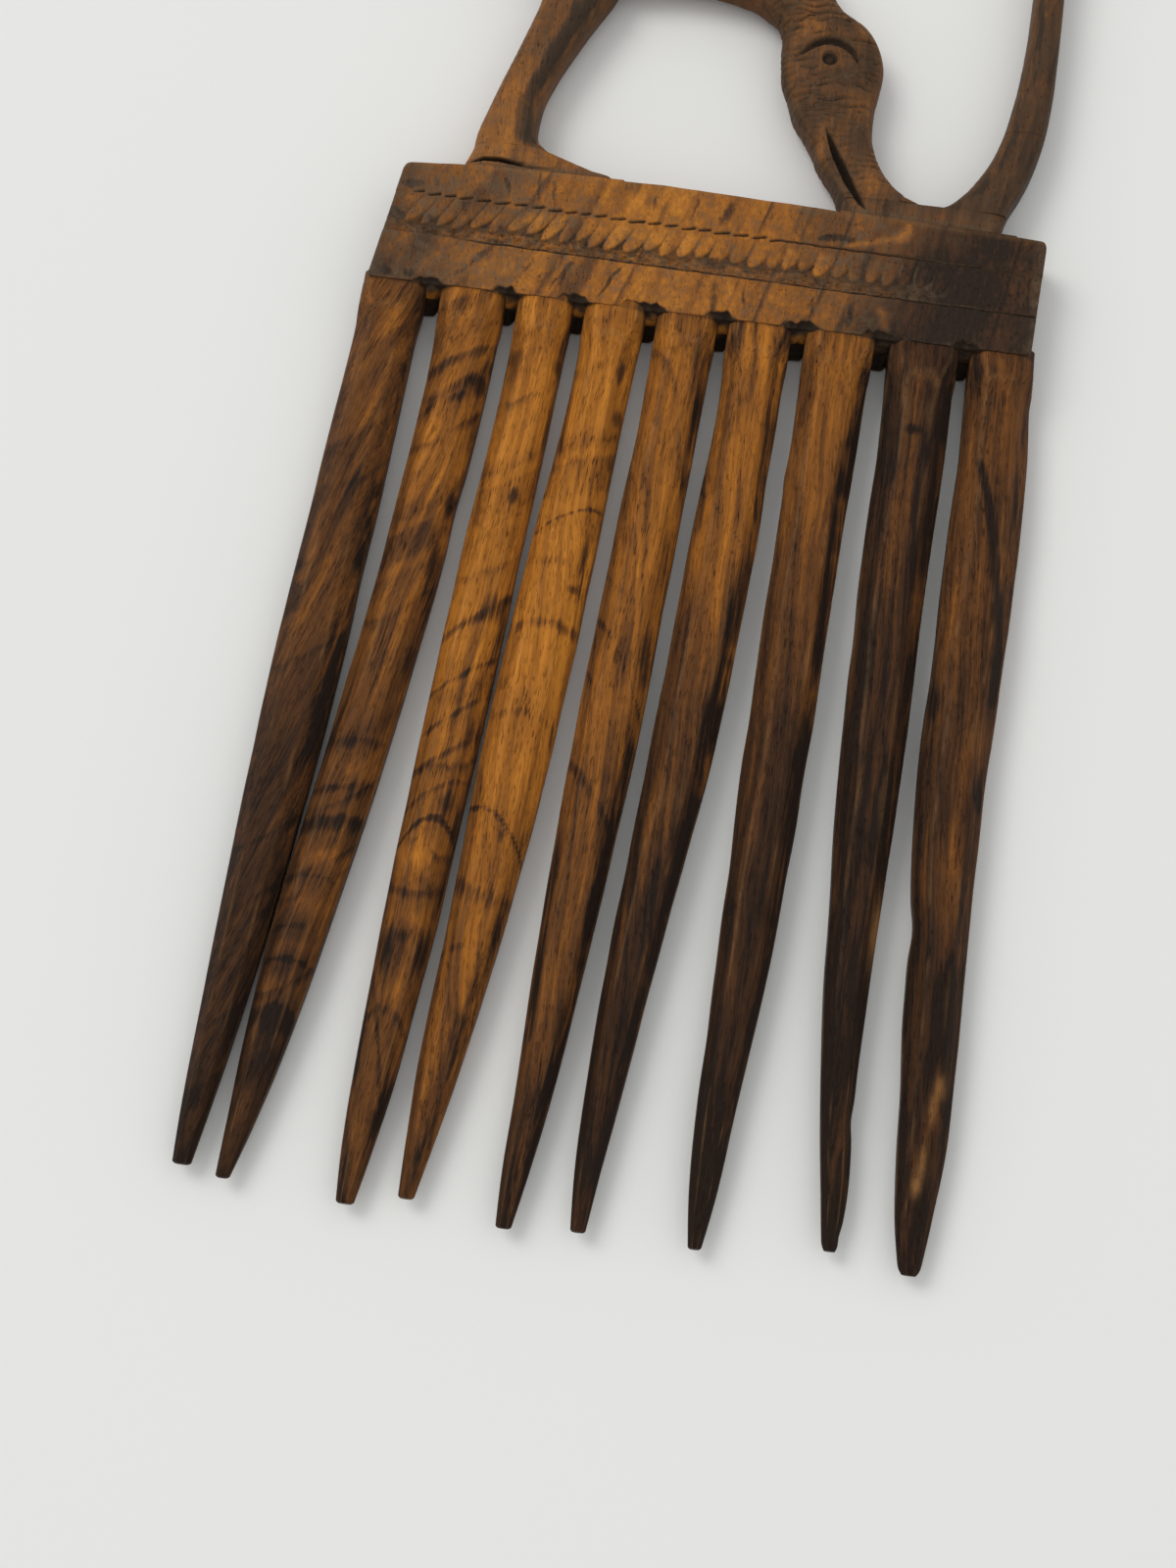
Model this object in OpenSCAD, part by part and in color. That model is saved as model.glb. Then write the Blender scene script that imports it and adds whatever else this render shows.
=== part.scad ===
// Hand-carved wooden afro pick. A notched bar carries nine tapering tines below it and an
// openwork handle above it: a long-tailed bird that bends its beak down to the bar, inside
// a hoop that rises from the bar's right end and comes down on the bird's tail.
// The origin is the middle of the bar's back face. +X runs along the bar, +Y to the handle
// and +Z from the flat back to the carved front, so the comb lies on its back.

/* [Bar] */
// Length of the bar, at the middle of its height
bar_length = 78.6; // [74:0.1:86]
// Height of the bar, from the tines to its ends' upper corners
bar_height = 15.6; // [14:0.2:20]
// How far the bar's upper edge swells above its corners
bar_crown = 1.35; // [0:0.05:2]
// Thickness of the board that the comb is carved from
board_thickness = 6.5; // [5.5:0.1:9]
// How far the left end leans, its upper corner to the right
left_lean = 2.1; // [0:0.1:3]
// How far the right end leans, its upper corner to the right
right_lean = 0.8; // [0:0.1:2]
// Cut across the bar's worn corners
corner_cut = 0.6; // [0.2:0.1:1.2]
// Bevel round the bar's front
edge_bevel = 0.4; // [0.1:0.1:0.6]

/* [Notched band] */
// Height of the upper scribed line above the bar's middle
upper_line_rise = 3.55; // [3:0.05:4.5]
// Depth of the lower scribed line below the bar's middle
lower_line_drop = 2.0; // [1:0.05:3]
// How far the scribed lines fall from the left end to the right end
line_fall = 1.35; // [0:0.05:2]
// Width of a scribed line
line_width = 0.5; // [0.3:0.05:0.8]
// Depth of a scribed line
line_depth = 0.45; // [0.2:0.05:0.8]
// Distance from one chip notch to the next
notch_pitch = 2.05; // [1.6:0.05:3]
// Depth of a chip notch
notch_depth = 0.4; // [0.2:0.05:0.7]

/* [Tines] */
// Length of a tine, from the bar to its tip
tine_length = 107; // [90:1:125]
// Gap between two tines at the bar
tine_gap = 1.6; // [1.4:0.1:2.4]
// Thickness of a tine at its belly
tine_thickness = 5.7; // [4.6:0.1:6.2]
// How far the tips lie above the back face
tip_lift = 1.3; // [0.5:0.1:2.5]

/* [Leg and foot] */
// Place of the ankle along the bar
leg_x = -27; // [-29:0.5:-25]
// Width of the leg at the ankle
leg_width = 7.4; // [6:0.1:9]
// Height of the foot, from the bar to the ankle
foot_height = 3.5; // [2.8:0.1:5]

/* [Bird] */
// Height of the belly above the bar's corners
belly_rise = 29.8; // [27:0.2:34]
// Length of the body, from the neck to the tail
body_length = 25.4; // [24:0.2:28]
// Height of the body, from the belly to the back
body_height = 24; // [20:0.5:28]
// Distance of the head's middle line from the upright strap's
head_gap = 25.95; // [25:0.05:28]
// Width of the head at the eye
head_width = 13.2; // [11:0.1:14.5]
// Width of the ring round the eye
eye_ring = 4.8; // [3.6:0.1:5.6]
// Length of the slit between the halves of the beak
mouth_length = 11.2; // [8:0.1:12]
// Width of the slit between the halves of the beak
mouth_width = 1.0; // [0.5:0.1:1.4]
// Depth of the carved slits and of the eye's ring
carving_depth = 1.3; // [0.6:0.1:2]

/* [Hoop] */
// Distance of the upright strap from the bar's right end
strap_inset = 1.7; // [0:0.1:3]
// Width of the strap
strap_width = 3.9; // [3.4:0.1:4.6]
// Height over which the strap swings up from the bar
strap_swing = 35; // [30:0.5:42]
// Height of the arch's spring above the bar
arch_spring = 61; // [56:0.5:70]
// Rise of the arch above its spring
arch_rise = 22; // [16:0.5:34]
// Width of the arch at its crown
crown_width = 5.0; // [3.8:0.1:6.5]
// Height of the web under the beak and the strap, above the bar's corners
web_height = 2.7; // [2:0.1:3.4]

/* [Hidden] */

// Cuts run past the surface by this much
overrun = 1;
// Points round one cross-section, round the eye and round a knife slit's arc
sides = 16;
eye_sides = 48;
slit_sides = 96;
// Rings that a smooth curve adds between two rows of a table
ring_steps = 2;

bar_half = bar_length / 2;
strap_x = bar_half - strap_inset;
head_x = strap_x - head_gap;
bar_top = bar_height / 2;
bar_bottom = -bar_height / 2;
front = board_thickness;

// Squareness of a cross-section: 2 is an ellipse, larger is nearer a rectangle
soft_share = 2.5;
worn_share = 3.2;
flat_share = 7;

// A cross-section between a left edge and a right edge, as seen by one who walks along the
// piece, and between its back and its front. It is an ellipse with squared-off sides, and
// never dips below the board's back face.
function bent(value, squareness) = sign(value) * pow(abs(value), 2 / squareness);
function ring(row) =
    let (left = [row[0], row[1]], right = [row[2], row[3]])
    let (back = max(row[4], 0), face = row[5])
    let (middle = (left + right) / 2, reach = (right - left) / 2)
    [for (i = [0 : sides - 1])
        let (across = bent(cos(360 * i / sides), row[6]), up = bent(sin(360 * i / sides), row[6]))
        [middle[0] + reach[0] * across,
         middle[1] + reach[1] * across,
         (back + face) / 2 + (face - back) / 2 * up]];

// A smooth curve through the rows of a table
function between(p, q, r, s, t) =
    (2 * q + (r - p) * t + (2 * p - 5 * q + 4 * r - s) * t * t
     + (3 * q - p - 3 * r + s) * t * t * t) / 2;
function smooth(rows) =
    let (last = len(rows) - 1)
    [for (i = [0 : last - 1], k = [0 : ring_steps - 1])
        between(rows[max(i - 1, 0)], rows[i], rows[i + 1], rows[min(i + 2, last)], k / ring_steps),
     rows[last]];
function part_of(rows, first, last) = [for (i = [first : last]) rows[i]];

// A closed skin over a list of cross-sections
module loft(rows) {
    rings = len(rows);
    points = [for (row = rows) each ring(row)];
    start_face = [for (i = [sides - 1 : -1 : 0]) i];
    end_face = [for (i = [0 : sides - 1]) (rings - 1) * sides + i];
    side_faces = [for (k = [0 : rings - 2], i = [0 : sides - 1])
        let (a = k * sides + i, b = k * sides + (i + 1) % sides)
        each [[a, b, b + sides], [a, b + sides, a + sides]]];
    polyhedron(points = points, faces = concat([start_face], side_faces, [end_face]));
}

// Bar: the board's outline, bevelled round its front, with the carved band cut into it.
// The upper edge's points are shares of the bar's length, from its middle, and of its crown.
top_edge_shares = [[-0.5, 0.3], [-0.405, 0.75], [-0.1, 1], [0.5, -0.1]];
top_edge = [for (share = top_edge_shares)
    [share[0] * bar_length, bar_top + share[1] * bar_crown]];
function top_y(x) = lookup(x, top_edge);
band_middle = (upper_line_rise - lower_line_drop) / 2;
band_tilt = atan(line_fall / bar_length);
band_height = upper_line_rise + lower_line_drop;
// The long notches take this share of the band's height, the short ones what is left
long_notch_share = 0.64;
// The band stops this many notches short of the bar's length
missing_notches = 3;
notch_count = floor(bar_length / notch_pitch) - missing_notches;
// The land between the two rows is this share of a scribed line's width
land_share = 0.5;
// The ridge between two notches lies this share of their depth below the front
ridge_share = 0.2;

bar_outline = [
    [-bar_half - left_lean / 2 + corner_cut, bar_bottom],
    [-bar_half - left_lean / 2, bar_bottom + corner_cut],
    [-bar_half + left_lean / 2, top_edge[0][1] - corner_cut],
    [-bar_half + left_lean / 2 + corner_cut, top_edge[0][1]],
    top_edge[1], top_edge[2],
    [bar_half + right_lean / 2 - corner_cut, top_edge[3][1]],
    [bar_half + right_lean / 2, top_edge[3][1] - corner_cut],
    [bar_half - right_lean / 2, bar_bottom + corner_cut],
    [bar_half - right_lean / 2 - corner_cut, bar_bottom]
];

module bar_block() {
    linear_extrude(board_thickness)
        polygon(bar_outline);
}

// The wedge that bevels one edge of the outline, from one point to the next
module bevel_cut(from, to) {
    run = to - from;
    translate([from[0], from[1], front - edge_bevel])
        rotate([0, 0, atan2(run[1], run[0])])
            translate([-overrun, 0, 0])
                rotate([90, 0, 90])
                    linear_extrude(norm(run) + 2 * overrun)
                        polygon([[overrun, -overrun], [overrun, edge_bevel + overrun],
                                 [-edge_bevel - overrun, edge_bevel + overrun]]);
}

// One scribed line, a V that runs past both ends of the bar
module scribed_line(y) {
    reach = bar_half + left_lean + overrun;
    translate([-reach, y, front])
        rotate([90, 0, 90])
            linear_extrude(2 * reach)
                polygon([[0, -line_depth], [line_width / 2, 0], [line_width, overrun],
                         [-line_width, overrun], [-line_width / 2, 0]]);
}

// A row of chip notches: each slopes down along the bar and ends in a step
module notch_row(y, height, direction) {
    reach = notch_count * notch_pitch / 2;
    ridge = -notch_depth * ridge_share;
    teeth = [for (i = [0 : notch_count - 1])
        each [[i * notch_pitch - reach, ridge], [(i + 1) * notch_pitch - reach, -notch_depth]]];
    translate([0, y + height / 2, front])
        scale([direction, 1, 1])
            rotate([90, 0, 0])
                linear_extrude(height)
                    polygon(concat(teeth, [[reach, overrun], [-reach, overrun]]));
}

module comb_bar() {
    notch_room = band_height - 2 * line_width;
    long_notch = notch_room * long_notch_share;
    short_notch = notch_room - long_notch - line_width * land_share;
    color([0.55, 0.36, 0.18])
    difference() {
        bar_block();
        for (i = [0 : len(bar_outline) - 1])
            bevel_cut(bar_outline[i], bar_outline[(i + 1) % len(bar_outline)]);
        translate([0, band_middle, 0])
            rotate([0, 0, -band_tilt]) {
                scribed_line(band_height / 2);
                scribed_line(-band_height / 2);
                notch_row(notch_room / 2 - long_notch / 2, long_notch, 1);
                notch_row(-notch_room / 2 + short_notch / 2, short_notch, -1);
            }
    }
}

// Tines: each is whittled by eye, so each has its own row. Stations run from the root to the
// tip. Bends are shares of the pitch, to the right of the tine's root, and widths are shares
// of the tine's width.
station_shares = [0, 0.12, 0.3, 0.5, 0.7, 0.85, 0.94, 1];
lift_shares = [0, 0, 0, 0, 0.06, 0.3, 0.7, 1];
girth_shares = [0.97, 1, 1, 0.98, 0.9, 0.7, 0.46, 0.28];
// Each row: shift of the root, length, bends, widths
tine_shares = [
    [-0.077, 0.992, [0, -0.07, -0.185, -0.32, -0.458, -0.578, -0.668, -0.723],
                    [1.03, 1.01, 1.04, 1.04, 0.83, 0.61, 0.43, 0.27]],
    [0.01, 1.000, [0, -0.05, -0.21, -0.47, -0.785, -1.02, -1.16, -1.27],
                  [1.02, 0.98, 0.95, 0.93, 0.865, 0.665, 0.41, 0.20]],
    [-0.015, 1.009, [0, -0.06, -0.21, -0.35, -0.49, -0.605, -0.69, -0.74],
                    [0.87, 0.87, 0.91, 0.90, 0.82, 0.655, 0.46, 0.26]],
    [-0.085, 0.996, [0, -0.08, -0.245, -0.42, -0.60, -0.785, -0.89, -0.96],
                    [0.955, 0.915, 1.035, 1.06, 0.865, 0.65, 0.42, 0.23]],
    [-0.123, 1.012, [0, -0.06, -0.19, -0.32, -0.465, -0.57, -0.665, -0.72],
                    [0.955, 0.955, 0.97, 0.97, 0.79, 0.57, 0.41, 0.23]],
    [-0.15, 1.006, [0, -0.045, -0.155, -0.32, -0.56, -0.71, -0.78, -0.805],
                   [0.995, 0.995, 1.02, 0.95, 0.75, 0.545, 0.39, 0.22]],
    [-0.075, 1.007, [0, -0.055, -0.135, -0.21, -0.30, -0.41, -0.455, -0.48],
                    [1.09, 1.035, 0.995, 0.96, 0.79, 0.595, 0.41, 0.19]],
    [0.035, 0.991, [0, -0.02, -0.09, -0.11, -0.135, -0.085, -0.03, 0],
                   [1.09, 1.05, 1.02, 0.935, 0.70, 0.49, 0.35, 0.22]],
    [0.085, 1.004, [0, 0.015, -0.04, -0.12, -0.08, -0.06, -0.08, -0.07],
                   [0.995, 1.065, 1.105, 1.02, 0.865, 0.75, 0.545, 0.30]]
];
tine_count = len(tine_shares);
row_left = -bar_half - left_lean / 2;
row_right = bar_half - right_lean / 2;
tine_width = (row_right - row_left - (tine_count - 1) * tine_gap) / tine_count;
tine_pitch = tine_width + tine_gap;
tine_colors = [
    [0.30, 0.19, 0.12], [0.48, 0.30, 0.15], [0.66, 0.42, 0.17],
    [0.68, 0.43, 0.17], [0.52, 0.33, 0.17], [0.45, 0.28, 0.15],
    [0.34, 0.22, 0.13], [0.22, 0.14, 0.10], [0.32, 0.20, 0.12]
];

function tine_rows(number) =
    let (shares = tine_shares[number - 1])
    let (root_x = row_left + tine_width / 2 + (number - 1 + shares[0]) * tine_pitch)
    [for (i = [0 : len(station_shares) - 1])
        let (x = root_x + shares[2][i] * tine_pitch)
        let (y = bar_bottom - station_shares[i] * shares[1] * tine_length)
        let (half = shares[3][i] * tine_width / 2)
        let (back = lift_shares[i] * tip_lift)
        [x + half, y, x - half, y, back, back + girth_shares[i] * tine_thickness,
         i == 0 ? worn_share : soft_share]];

module tine(number) {
    color(tine_colors[number - 1])
        loft(smooth(tine_rows(number)));
}

// Foot and leg: rows of height, left edge and right edge. The foot's heights are shares of
// the way from the bar's upper edge to the ankle, the leg's of the way from there to the
// belly, and edges are shares of the leg's width from the ankle's middle. The foot starts
// inside the bar and is cut to its upper edge.
leg_depth_shares = [0.08, 0.93];
leg_back = front * leg_depth_shares[0];
leg_front = front * leg_depth_shares[1];
foot_shares = [
    [-0.3, -0.60, 1.88], [0.16, -0.56, 1.87], [0.30, -0.54, 1.62], [0.60, -0.51, 1.27],
    [1, -0.49, 0.84]
];
leg_shares = [
    [0, -0.49, 0.84], [0.08, -0.47, 0.58], [0.25, -0.32, 0.55],
    [0.43, -0.15, 0.69], [0.72, 0.12, 1.11], [0.92, 0.27, 1.46], [1.12, 0.42, 1.70]
];
ankle_y = top_y(leg_x) + foot_height;
belly_y = bar_top + belly_rise;
// The foot's slit: its middle right of the leg's, its drop below the ankle, its length
foot_slit_shares = [0.1, 0.62, 0.62];

function foot_row(share) =
    let (left = leg_x + share[1] * leg_width, right = leg_x + share[2] * leg_width)
    [left, top_y(left) + (ankle_y - top_y(left)) * share[0],
     right, top_y(right) + (ankle_y - top_y(right)) * share[0], leg_back, leg_front,
     flat_share + max(share[0], 0) * (worn_share - flat_share)];
function leg_row(share) =
    let (y = ankle_y + share[0] * (belly_y - ankle_y))
    [leg_x + share[1] * leg_width, y, leg_x + share[2] * leg_width, y, leg_back, leg_front,
     worn_share];
foot_rows = [for (share = foot_shares) foot_row(share)];
leg_rows = [for (share = leg_shares) leg_row(share)];

// A knife slit in the front: two arcs that meet in points, as long and wide as given
module slit(length, width) {
    radius = (length * length + width * width) / (4 * width);
    translate([0, 0, front - carving_depth])
        linear_extrude(carving_depth + overrun)
            intersection() {
                translate([0, radius - width / 2])
                    circle(radius, $fn = slit_sides);
                translate([0, width / 2 - radius])
                    circle(radius, $fn = slit_sides);
            }
}

module foot() {
    color([0.60, 0.38, 0.18])
    difference() {
        loft(foot_rows);
        bar_block();
        translate([leg_x + leg_width * foot_slit_shares[0],
                   ankle_y - foot_height * foot_slit_shares[1], 0])
            slit(leg_width * foot_slit_shares[2], mouth_width / 2);
    }
}

module leg() {
    color([0.58, 0.37, 0.19])
    difference() {
        loft(smooth(leg_rows));
        loft(bird_rings);
    }
}

// Hoop: the strap swings up from the web, stands upright and springs into the arch. Rows of
// height, inner edge and outer edge: heights are shares of the swing, edges are shares of
// the strap's width from its middle.
strap_depth_shares = [0.12, 0.9];
strap_back = front * strap_depth_shares[0];
strap_front = front * strap_depth_shares[1];
strap_shares = [
    [0, -2.86, -0.76], [0.04, -2.76, -0.66], [0.07, -2.52, -0.56],
    [0.13, -1.92, -0.30], [0.22, -1.46, 0.0], [0.34, -1.09, 0.24],
    [0.48, -0.84, 0.38], [0.60, -0.69, 0.43], [0.78, -0.56, 0.46], [1, -0.50, 0.48]
];
strap_base = bar_top + web_height;
spring_y = bar_top + arch_spring;
strap_rows = [for (share = strap_shares)
    [strap_x + share[1] * strap_width, strap_base + share[0] * strap_swing,
     strap_x + share[2] * strap_width, strap_base + share[0] * strap_swing,
     strap_back, strap_front, worn_share]];
upright_rows = [for (share = [0.5, 1])
    let (y = strap_base + strap_swing + share * (spring_y - strap_base - strap_swing))
    [strap_x - strap_width / 2, y, strap_x + strap_width / 2, y, strap_back, strap_front,
     worn_share]];

// The arch is half an ellipse from the strap to the tail. The neck's cut lies left of the
// head by a share of the head's width, the tail left of that by a share of the body's length.
neck_share = 1.31;
tail_share = 1.2;
neck_x = head_x - head_width * neck_share;
tail_x = neck_x - body_length * tail_share;
arch_x = (strap_x + tail_x) / 2;
arch_reach = (strap_x - tail_x) / 2;
arch_turns = 18;
function arch_row(angle) =
    let (width = strap_width + (crown_width - strap_width) * sin(angle))
    let (inner = [arch_reach - width / 2, arch_rise - width])
    let (outer = [arch_reach + width / 2, arch_rise])
    [arch_x + inner[0] * cos(angle), spring_y + inner[1] * sin(angle),
     arch_x + outer[0] * cos(angle), spring_y + outer[1] * sin(angle),
     strap_back, strap_front, worn_share];
arch_rows = [for (i = [1 : arch_turns]) arch_row(180 * i / arch_turns)];

// Bird: one skin from the tail to the beak, cut into members at shared cross-sections. Rows
// go from the arch down the tail, along the body and down the neck. Each has a point on the
// back and a point on the belly: across, shares of the body's length from the neck's cut,
// and up, shares of the body's height above the belly.
bird_depth_shares = [0.03, 0.99];
bird_back = front * bird_depth_shares[0];
bird_front = front * bird_depth_shares[1];
tail_shares = [
    [-1.14, 1.13, -1.30, 1.09], [-1.11, 1.02, -1.26, 0.84], [-1.05, 0.945, -1.18, 0.55]
];
body_shares = [
    [-0.94, 0.93, -1.03, 0.30], [-0.75, 0.965, -0.84, 0.12], [-0.49, 0.985, -0.64, 0.01],
    [-0.19, 0.93, -0.45, -0.01], [0.08, 0.79, -0.28, 0.02], [0.30, 0.61, -0.14, 0.04],
    [0.46, 0.42, 0, 0.04]
];
neck_shares = [
    [0.58, 0.24, 0.12, 0.03], [0.66, 0.08, 0.23, 0.01], [0.735, -0.025, 0.31, -0.035]
];

// Head and beak: height above the web, right edge and left edge. Heights are shares of the
// way from the web to the head's top, edges are shares of the head's width from its middle.
head_top_share = 0.1;
head_span = belly_rise - web_height - head_top_share * body_height;
head_shares = [
    [1, 0.31, -0.57], [0.915, 0.43, -0.51], [0.825, 0.49, -0.50], [0.74, 0.50, -0.48],
    [0.645, 0.48, -0.45], [0.555, 0.455, -0.38]
];
beak_shares = [
    [0.46, 0.45, -0.31], [0.375, 0.46, -0.20], [0.29, 0.50, -0.10], [0.21, 0.57, -0.03],
    [0.13, 0.70, 0.08], [0.075, 0.86, 0.15], [0.03, 0.96, 0.20], [0, 1.0, 0.23]
];

function bird_row(share) =
    [neck_x + share[0] * body_length, belly_y + share[1] * body_height,
     neck_x + share[2] * body_length, belly_y + share[3] * body_height,
     bird_back, bird_front, soft_share];
function tail_row(share, i) =
    let (row = bird_row(share), ease = (i + 1) / (len(tail_shares) + 1))
    [row[0], row[1], row[2], row[3],
     strap_back + (bird_back - strap_back) * ease,
     strap_front + (bird_front - strap_front) * ease,
     worn_share + (soft_share - worn_share) * ease];
function head_row(share, squareness) =
    [head_x + share[1] * head_width, strap_base + share[0] * head_span,
     head_x + share[2] * head_width, strap_base + share[0] * head_span,
     bird_back, bird_front, squareness];

hoop_rows = concat(strap_rows, upright_rows, arch_rows);
tail_rows = [for (i = [0 : len(tail_shares) - 1]) tail_row(tail_shares[i], i)];
body_rows = [for (share = body_shares) bird_row(share)];
neck_rows = [for (share = neck_shares) bird_row(share)];
head_rows = [for (share = head_shares) head_row(share, soft_share)];
beak_rows = [for (share = beak_shares) head_row(share, worn_share)];

// The whole run, smoothed once so that the members meet without a kink
all_rings = smooth(concat(hoop_rows, tail_rows, body_rows, neck_rows, head_rows, beak_rows));
root_rows = 5;
root_end = root_rows * ring_steps;
arch_start = (len(strap_rows) + len(upright_rows) - 1) * ring_steps;
arch_end = (len(hoop_rows) - 1) * ring_steps;
tail_end = arch_end + len(tail_rows) * ring_steps + ring_steps;
body_end = tail_end + (len(body_rows) - 1) * ring_steps;
neck_end = body_end + len(neck_rows) * ring_steps + ring_steps;
head_end = neck_end + len(head_rows) * ring_steps;
bird_rings = part_of(all_rings, tail_end, body_end);

module strap_root() {
    color([0.36, 0.24, 0.15])
        loft(part_of(all_rings, 0, root_end));
}

module side_strap() {
    color([0.42, 0.28, 0.17])
        loft(part_of(all_rings, root_end, arch_start));
}

module top_arch() {
    color([0.46, 0.30, 0.18])
        loft(part_of(all_rings, arch_start, arch_end));
}

module tail() {
    color([0.50, 0.32, 0.18])
        loft(part_of(all_rings, arch_end, tail_end));
}

module body() {
    color([0.54, 0.35, 0.19])
        loft(bird_rings);
}

module neck() {
    color([0.50, 0.32, 0.19])
        loft(part_of(all_rings, body_end, neck_end));
}

// Eye: a ring cut round a low boss, with a pit for the pupil. Its place is a share of the
// head's width and a share of the head's height.
eye_shares = [-0.035, 0.765];
eye_x = head_x + head_width * eye_shares[0];
eye_y = strap_base + head_span * eye_shares[1];
pupil_share = 0.14;
groove_share = 0.22;

module head() {
    radius = eye_ring / 2;
    pupil = eye_ring * pupil_share;
    groove = radius * groove_share;
    color([0.52, 0.35, 0.20])
    difference() {
        loft(part_of(all_rings, neck_end, head_end));
        translate([eye_x, eye_y, front])
            rotate_extrude($fn = eye_sides) {
                polygon([[radius - groove, 0], [radius, -carving_depth / 2], [radius + groove, 0],
                         [radius + groove, overrun], [radius - groove, overrun]]);
                polygon([[0, -carving_depth], [pupil, -carving_depth / 2], [pupil, overrun],
                         [0, overrun]]);
            }
    }
}

// The middle of the slit in the beak, as shares like the eye's, and its turn
mouth_shares = [0.22, 0.185];
mouth_turn = -64;

module beak() {
    mouth_x = head_x + head_width * mouth_shares[0];
    mouth_y = strap_base + head_span * mouth_shares[1];
    color([0.44, 0.28, 0.16])
    difference() {
        loft(part_of(all_rings, head_end, len(all_rings) - 1));
        translate([mouth_x, mouth_y, 0])
            rotate([0, 0, mouth_turn])
                slit(mouth_length, mouth_width);
    }
}

// Web: a low flat step on the bar, under the beak's tip and the strap's root. It narrows
// towards the bar by a share of its height, starts inside the bar and is cut to its edge.
web_narrowing_share = 0.3;
web_shares = [-0.3, 0.5, 1];

module base_web() {
    left = head_x + beak_shares[len(beak_shares) - 1][2] * head_width;
    right = strap_x + strap_shares[0][2] * strap_width;
    narrowing = web_height * web_narrowing_share;
    color([0.38, 0.25, 0.15])
    difference() {
        loft([for (share = web_shares)
            let (inset = narrowing * (1 - max(share, 0)), a = left + inset, b = right - inset)
            [a, top_y(a) + (strap_base - top_y(a)) * share,
             b, top_y(b) + (strap_base - top_y(b)) * share,
             bird_back, bird_front, flat_share]]);
        bar_block();
    }
}

comb_bar();
tine(1);  // tine_1
tine(2);  // tine_2
tine(3);  // tine_3
tine(4);  // tine_4
tine(5);  // tine_5
tine(6);  // tine_6
tine(7);  // tine_7
tine(8);  // tine_8
tine(9);  // tine_9
foot();
leg();
base_web();
beak();
head();
neck();
body();
tail();
top_arch();
side_strap();
strap_root();
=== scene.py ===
import math
from functools import partialmethod

import bpy
import numpy as np
from mathutils import Matrix, Vector, noise


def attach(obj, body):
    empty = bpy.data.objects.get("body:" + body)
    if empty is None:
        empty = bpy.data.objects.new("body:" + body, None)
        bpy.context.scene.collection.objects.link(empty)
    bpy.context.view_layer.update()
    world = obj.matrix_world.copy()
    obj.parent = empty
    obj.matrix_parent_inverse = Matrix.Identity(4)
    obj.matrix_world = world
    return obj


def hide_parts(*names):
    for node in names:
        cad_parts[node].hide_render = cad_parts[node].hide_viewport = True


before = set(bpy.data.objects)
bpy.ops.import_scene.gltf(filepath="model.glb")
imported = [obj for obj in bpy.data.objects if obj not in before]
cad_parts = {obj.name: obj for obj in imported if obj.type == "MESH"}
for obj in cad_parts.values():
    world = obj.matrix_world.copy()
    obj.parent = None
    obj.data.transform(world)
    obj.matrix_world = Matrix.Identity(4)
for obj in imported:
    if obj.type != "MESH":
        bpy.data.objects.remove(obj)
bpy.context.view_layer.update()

scene = bpy.context.scene
mm = 0.001


def rgb(*colour):
    # a colour as it looks on a screen, 0 to 255, made linear for a socket
    parts = [value / 255 for value in colour]
    parts = [p / 12.92 if p <= 0.04045 else ((p + 0.055) / 1.055) ** 2.4 for p in parts]
    return (*parts, 1.0)


def plug(value, slot):
    if isinstance(value, Wire):
        slot.id_data.links.new(value.socket, slot)
    else:
        slot.default_value = value


def fillInputs(node, values):
    for key, value in dict(values).items():
        plug(value, node.inputs[key])


def makeNode(tree, kind, inputs=(), **settings):
    # adds a node with its settings and inputs, and gives a wire from each output in use
    node = tree.nodes.new(kind)
    for name, value in settings.items():
        setattr(node, name, value)
    fillInputs(node, inputs)
    return [Wire(socket) for socket in node.outputs if socket.enabled]


class Wire:
    # a node's output that can be added, multiplied and so on, each step a Math node
    def __init__(self, socket):
        self.socket, self.tree = socket, socket.id_data

    def step(self, operation, *others, clamp=False):
        return makeNode(self.tree, "ShaderNodeMath", enumerate((self, *others)),
                        operation=operation, use_clamp=clamp)[0]

    __add__ = __radd__ = partialmethod(step, "ADD")
    __sub__ = partialmethod(step, "SUBTRACT")
    __mul__ = __rmul__ = partialmethod(step, "MULTIPLY")
    __truediv__ = partialmethod(step, "DIVIDE")
    __pow__ = partialmethod(step, "POWER")
    least = partialmethod(step, "MINIMUM")
    most = partialmethod(step, "MAXIMUM")
    size = partialmethod(step, "ABSOLUTE")
    floor = partialmethod(step, "FLOOR")
    clamp = partialmethod(step, "ADD", 0.0, clamp=True)

    def __rsub__(self, other):
        return self * -1.0 + other

    def ease(self, low, high):
        # 0 at low, 1 at high, smooth between them
        turned = not isinstance(low, Wire) and low > high
        ends = (high, low, 1.0, 0.0) if turned else (low, high, 0.0, 1.0)
        names = ("From Min", "From Max", "To Min", "To Max")
        return makeNode(self.tree, "ShaderNodeMapRange", {"Value": self, **dict(zip(names, ends))},
                        interpolation_type="SMOOTHSTEP")[0]

    def split(self):
        # where in its turn the value stands, from 0 to 1, and the turn's number
        turn = self.floor()
        return self - turn, turn


def noise1d(along, detail=0.0):
    return makeNode(along.tree, "ShaderNodeTexNoise", {"W": along, "Scale": 1.0, "Detail": detail},
                    noise_dimensions="1D")[0]


def noise3d(x, y, z, detail=2.0, roughness=0.5):
    return makeNode(x.tree, "ShaderNodeTexNoise", {
        "Vector": joinVector(x.tree, x, y, z), "Scale": 1.0, "Detail": detail,
        "Roughness": roughness})[0]


def whiteNoise(along):
    return makeNode(along.tree, "ShaderNodeTexWhiteNoise", {"W": along}, noise_dimensions="1D")[0]


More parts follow.
